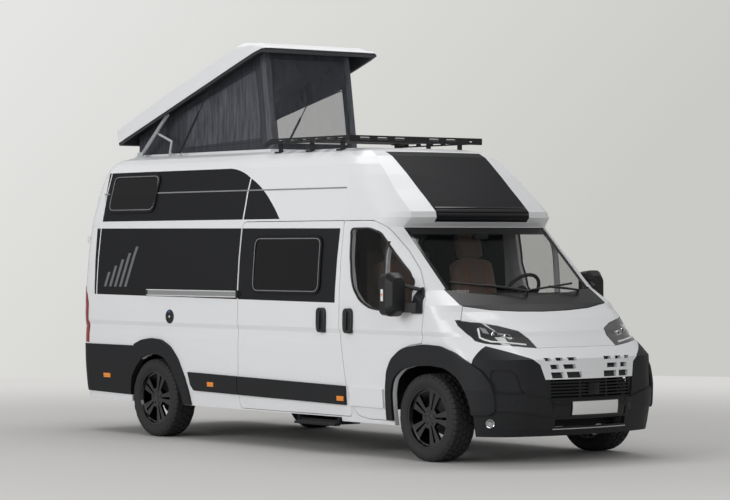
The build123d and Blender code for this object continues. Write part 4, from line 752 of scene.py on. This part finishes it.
wear(handle, gloss_black, "tail_door_right")
for name, span, rise, proud, sunk, material in (
        ("rear_plate_holder", (0.095, 0.635), (0.806, 0.936), 0.010, 0.003, satin_black),
        ("number_plate_rear", (0.105, 0.625), (0.816, 0.926), 0.012, -0.002, reflective),
        ("high_brake_lamp", (0.10, 0.40), (2.365, 2.390), 0.008, 0.003, red_lens)):
    piece = panel_on(name, span, rise, ["rear_door_left"], (1, 0, 0), proud, across=2, sunk=sunk)
    wear(piece, material, "tail_door_left")

# Cab and living space
# A soft dashboard skin, and light furniture board.
foamed = grained("foamed_dashboard_skin", "1E1E20", 0.6, 3, 0.1)
board = grained("furniture_board", "B9AD9B", 0.4, 30, 0.05, "AFA290", "C4B9A8")
coat(foamed, "dashboard")
coat(board, "furniture")

# Pop-up roof shell
# A sandwich moulding in glass fibre and white gelcoat. A black rubber lip closes its edge on
# the roof, and grey felt lines it inside.
RISE_X, RISE_Z = -0.3239, 0.9461
edged_gelcoat, tree, shader = start_material("white_gelcoat_with_rubber_lip", "E9EAEC", 0.4, Coat_Weight=0.15)
place = grain(tree, shader, 30, 0.02)[0]
above = film_limits(tree, place, [(RISE_X, RISE_Z, 3.6200)])
shade = add(tree, "ShaderNodeMix", {"data_type": "RGBA", 6: tint("101113"), 7: tint("E9EAEC")}, {0: (above, 0)})
tree.links.new(shade.outputs[2], shader.inputs["Base Color"])
felt = grained("needled_felt_lining", "33353A", 0.9, 3, 0.3, "2C2E33", "3B3D42", Sheen_Weight=0.2)
shell = NODES["pop_roof_shell"].data
shell.materials.clear()
shell.materials.append(edged_gelcoat)
shell.materials.append(felt)
shell_up = Vector((RISE_X, 0, RISE_Z))
for face in shell.polygons:
    along, centre = face.normal.dot(Vector((RISE_Z, 0, -RISE_X))), face.center
    at_an_end = abs(along) > 0.5 and along * (centre.x + 1.75) < 0 and abs(centre.y) < 0.69
    facing_in = face.normal.y * centre.y < -0.02 or at_an_end
    face.material_index = 1 if face.normal.dot(shell_up) < -0.15 or facing_in else 0

# Tent
# One sheet of coated polyester canvas, sewn into a closed wall, with windows of insect mesh in
# front and on the right, and the left one unzipped and rolled away. Keder strips hold it at
# the plinth and under the shell, and it hangs a little slack between them.
def crease_shaded_cloth(name, colour, roughness, size_mm, depth_mm, dark, pale, **more):
    """A cloth with painted shade and painted highlight in upright bands some 30 mm apart, which stand for the light
    on creases from folding.
    """
    made, tree, shader = start_material(name, colour, roughness, **more)
    place = grain(tree, shader, size_mm, depth_mm)[0]
    drawn = add(tree, "ShaderNodeMapping", {"Scale": (34, 34, 3)}, {"Vector": (place, "Object")})
    crease = add(tree, "ShaderNodeTexNoise", {"Scale": 1, "Detail": 4, "Roughness": 0.65},
                 {"Vector": (drawn, "Vector")})
    # The colour runs from dark to pale across the bands: painted shade and painted highlight of the creases.
    shade = add(tree, "ShaderNodeValToRGB", {}, {"Fac": (crease, "Fac")})
    ends = shade.color_ramp.elements
    ends[0].position, ends[0].color = 0.34, tint(dark)
    ends[1].position, ends[1].color = 0.68, tint(pale)
    tree.links.new(shade.outputs["Color"], shader.inputs["Base Color"])
    return made


# Every cloth of the tent carries this painted crease shade and highlight in its colour.
canvas = crease_shaded_cloth("coated_polyester_canvas", "33353B", 0.75, 3, 0.2, "2C2E34", "41444B")
pale_canvas = crease_shaded_cloth("reinforced_corner_canvas", "4F5157", 0.7, 3, 0.2, "45474D", "63666C")
insect_mesh = crease_shaded_cloth("knitted_insect_mesh", "4A4D54", 0.8, 8, 0.1, "3E4148", "6A6D75", Alpha=0.8)
front_mesh = crease_shaded_cloth("fine_front_mesh", "4A4D54", 0.8, 8, 0.1, "3E4148", "6A6D75", Alpha=0.5)
open_air = crease_shaded_cloth("unzipped_window_net", "A8ABB0", 0.8, 8, 0.1, "96999E", "C4C7CB", Alpha=0.14)
TENT_LOW = 2.7125
TENT_REAR, TENT_FRONT, TENT_FRONT_TOP, TENT_HALF = -2.8290, -0.6145, -0.7425, 0.502
WALLS = [("right", 30), ("front", 16), ("left", 30), ("rear", 8)]
TENT_ROWS = 16


def tent_point(wall, u, t):
    """A point of the tent wall, u along it from its first corner and t up it."""
    if wall in ("front", "rear"):
        side = 1 if wall == "front" else -1
        x = (TENT_FRONT + (TENT_FRONT_TOP - TENT_FRONT) * t) if side > 0 else TENT_REAR
        y, out = side * TENT_HALF * (2 * u - 1), Vector((side, 0, 0))
    else:
        side = -1 if wall == "right" else 1
        s = u if wall == "right" else 1 - u
        x = TENT_REAR + (TENT_FRONT - TENT_REAR) * s + (TENT_FRONT_TOP - TENT_FRONT) * s * t
        y, out = side * TENT_HALF, Vector((0, side, 0))
    top = 2.8647 + (x + 2.9413) * 0.3424 - 0.004
    slack = 0.016 * math.sin(math.pi * u) * math.sin(math.pi * t)
    pleat = 0.0035 * math.sin(math.pi * u) * math.sin(math.pi * t) * math.sin(u * 41 + 1.7 * math.sin(t * 5))
    return Vector((x, y, TENT_LOW + (top - TENT_LOW) * t)) - out * (slack + pleat)


def window_of(wall, u, t):
    """Which cloth a cell of the wall is cut from, as a material number."""
    if wall == "right" and u > 0.955:
        return 1
    if wall == "front" and (u < 0.05 or u > 0.95):
        return 1
    if wall == "right" and 0.36 < u < 0.92 and 0.10 < t < 0.88:
        return 2
    if wall == "front" and 0.08 < u < 0.92 and 0.05 < t < 0.93:
        return 3
    if wall == "left" and 0.06 < u < 0.60 and 0.04 < t < 0.66:
        return 4
    return 0


cells = sum(count for wall, count in WALLS)
tent = started("tent_canvas", bpy.ops.mesh.primitive_grid_add, x_subdivisions=cells, y_subdivisions=TENT_ROWS, size=2)
columns = [(wall, k / count) for wall, count in WALLS for k in range(count)] + [("rear", 1.0)]
for material in (canvas, pale_canvas, insect_mesh, front_mesh, open_air):
    tent.data.materials.append(material)
for face in tent.data.polygons:
    column = min(cells - 1, int((face.center.x + 1) / 2 * cells))
    wall, start = columns[column]
    count = dict(WALLS)[wall]
    face.material_index = window_of(wall, start + 0.5 / count, (face.center.y + 1) / 2)
for point in tent.data.vertices:
    wall, u = columns[round((point.co.x + 1) / 2 * cells)]
    point.co = tent_point(wall, u, (point.co.y + 1) / 2)
on_mesh(bpy.ops.mesh.remove_doubles, threshold=0.0001)
on_mesh(bpy.ops.mesh.normals_make_consistent, inside=False)
wear(tent, None, "body", smooth=50)
zips = []
for wall, outline in (("right", [(0.345, 0.09), (0.93, 0.09), (0.93, 0.89), (0.345, 0.89)]),
                      ("front", [(0.07, 0.05), (0.93, 0.05), (0.93, 0.94), (0.07, 0.94)]),
                      ("left", [(0.06, 0.04), (0.61, 0.04), (0.61, 0.68), (0.06, 0.68)])):
    path = rounded(outline, 0.04, steps=4)
    zips.append(bead("tent_zip", [tent_point(wall, p.x, p.y) for p in path], 0.010, True))
zips = joined(zips)
zips.name = "tent_zips"
wear(zips, canvas, "body")
for piece in (tent, zips):
    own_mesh(piece)
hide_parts("tent")

# Cab seats
# Cold-cured foam on a steel pan, under a sewn cover in brown-grey cloth with orange piping.
# Cushions and backs are crowned, with sewn channels beside the middle, and two lines of piping
# run up each back.
seat_cloth = grained("sewn_seat_cloth", "7C665B", 0.8, 5, 0.4, "6C584E", "8C7569", Sheen_Weight=0.3)
BACK_X, BACK_Z, BACK_LEAN = 1.1735, 1.340, -12
piping = grained("woven_orange_piping", "C4622B", 0.7, 2, 0.2)


def cushion(name, middle, size, lean, channel=None):
    """A stuffed block: crowned faces, edges drawn in between the corners, sewn channels."""
    piece = started(name, bpy.ops.mesh.primitive_cube_add, size=2)
    on_mesh(bpy.ops.mesh.subdivide, number_cuts=11)
    for point in piece.data.vertices:
        flat = point.co.copy()
        for i in range(3):
            j, k = (i + 1) % 3, (i + 2) % 3
            crown = math.sqrt((1 - flat[j] ** 2) * (1 - flat[k] ** 2))
            corner = (abs(flat[j]) * abs(flat[k])) ** 6
            point.co[i] = flat[i] * (0.86 + 0.14 * crown ** 0.6 + 0.03 * corner) * size[i] / 2
        if channel is not None and abs(flat[channel]) > 0.95 and 0.45 < abs(flat.y) < 0.55:
            point.co[channel] *= 0.86
    finish_with(piece, "SUBSURF", levels=1, render_levels=1)
    piece.rotation_euler = (0, math.radians(lean), 0)
    piece.location = middle
    return piece


for side, y in (("right", -0.430), ("left", 0.430)):
    base = moulding("seat_base_" + side, (1.226, y - 0.198, 0.602), (1.640, y + 0.198, 0.888), 0.02)
    wear(base, dark_moulded, "body")
    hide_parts("seats")
    parts = [("seat_cushion_", (1.432, y, 0.972), (0.515, 0.495, 0.165), 0, 2),
             ("seat_back_", (BACK_X, y, BACK_Z), (0.128, 0.475, 0.715), BACK_LEAN, 0),
             ("head_rest_", (1.080, y, 1.800), (0.098, 0.268, 0.228), BACK_LEAN, None)]
    for name, middle, size, lean, channel in parts:
        piece = cushion(name + side, middle, size, lean, channel)
        wear(piece, seat_cloth, "body", smooth=60)
    for shift in (-0.118, 0.118):
        run = [Vector((0.060, y + shift, -0.30 + 0.06 * k)) for k in range(11)]
        turn = Matrix.Rotation(math.radians(BACK_LEAN), 3, "Y")
        points = [turn @ Vector((p.x, 0, p.z)) + Vector((BACK_X, p.y, BACK_Z)) for p in run]
        wear(bead("seat_piping_" + side, points, 0.007), piping, "body")
    for shift in (-0.06, 0.06):
        post = bead("head_post", [(1.118, y + shift, 1.64), (1.092, y + shift, 1.76)], 0.012)
        wear(post, plated, "body")

# Mattress
# Cold foam in a light ticking, cut to the bed between the side walls.
ticking = grained("woven_mattress_ticking", "C9C4BA", 0.85, 6, 0.4, "BFB9AE", "D4CFC5", Sheen_Weight=0.2)
mattress = cushion("mattress", (-2.290, 0, 1.150), (1.30, 1.70, 0.110), 0)
wear(mattress, ticking, "body", smooth=60)

# Studio
# A pale floor that fades into a grey wall with painted light, lighter towards the top and the left, one broad lamp
# overhead, and two soft ones.
floor = started("studio_floor", bpy.ops.mesh.primitive_circle_add, vertices=96, radius=13, fill_type="NGON",
                location=(0, 0, 0))
ground, tree, shader = start_material("painted_studio_floor", "C9C8C6", 0.7, Specular_IOR_Level=0.2)
place, speck = grain(tree, shader, 80, 0.02)
away = add(tree, "ShaderNodeVectorMath", {"operation": "LENGTH"}, {0: (place, "Object")})
fade = add(tree, "ShaderNodeMapRange", {1: 2, 2: 11.5, "interpolation_type": "SMOOTHSTEP"}, {0: (away, "Value")})
ray = add(tree, "ShaderNodeLightPath", {}, {})
seen = add(tree, "ShaderNodeMath", {"operation": "MULTIPLY"}, {0: (fade, 0), 1: (ray, "Is Camera Ray")})
haze = add(tree, "ShaderNodeEmission", {"Color": tint("D8D7D5"), "Strength": 1}, {})
both = add(tree, "ShaderNodeMixShader", {}, {0: (seen, 0), 1: (shader, 0), 2: (haze, 0)})
tree.links.new(both.outputs[0], tree.nodes["Material Output"].inputs["Surface"])
floor.data.materials.append(ground)

world = bpy.data.worlds.new("studio")
bpy.context.scene.world = world
world.use_nodes = True
tree = world.node_tree
tree.nodes.clear()
ray = add(tree, "ShaderNodeLightPath", {}, {})
seen = add(tree, "ShaderNodeMath", {"operation": "MAXIMUM"},
           {0: (ray, "Is Camera Ray"), 1: (ray, "Is Transmission Ray")})
# The wall's colour is painted light and shade: lighter upwards and to the left, darker downwards and to the right.
heading = add(tree, "ShaderNodeTexCoord", {}, {})
across = add(tree, "ShaderNodeVectorMath", {"operation": "DOT_PRODUCT", 1: (0.625, 0.781, -0.9)},
             {0: (heading, "Generated")})
sweep = add(tree, "ShaderNodeMapRange", {1: -0.20, 2: 0.08}, {0: (across, "Value")})
paint = add(tree, "ShaderNodeMix", {"data_type": "RGBA", 6: tint("E5E5E3"), 7: tint("CACAC6")}, {0: (sweep, 0)})
wall = add(tree, "ShaderNodeBackground", {"Strength": 1}, {"Color": (paint, 2)})
glow = add(tree, "ShaderNodeBackground", {"Color": tint("FFFFFF"), "Strength": 0.35}, {})
blend = add(tree, "ShaderNodeMixShader", {}, {0: (seen, 0), 1: (glow, 0), 2: (wall, 0)})
add(tree, "ShaderNodeOutputWorld", {}, {0: (blend, 0)})

for name, at, to, size, watts in (
        ("overhead_lamp", (-1.5, 1, 9), (0, 0, 0), (9, 4), 395),
        ("front_lamp", (12, -5, 6), (2, 0, 1), (7, 5), 235),
        ("side_lamp", (0, -14, 5), (0, 0, 2), (11, 5), 765)):
    bpy.ops.object.light_add(type="AREA", location=at)
    lamp = bpy.context.object
    lamp.name = name
    lamp.data.shape = "RECTANGLE"
    lamp.data.size, lamp.data.size_y = size
    lamp.data.energy = watts
    lamp.rotation_euler = (Vector(to) - Vector(at)).to_track_quat("-Z", "Y").to_euler()

bpy.context.scene.view_settings.view_transform = "Standard"
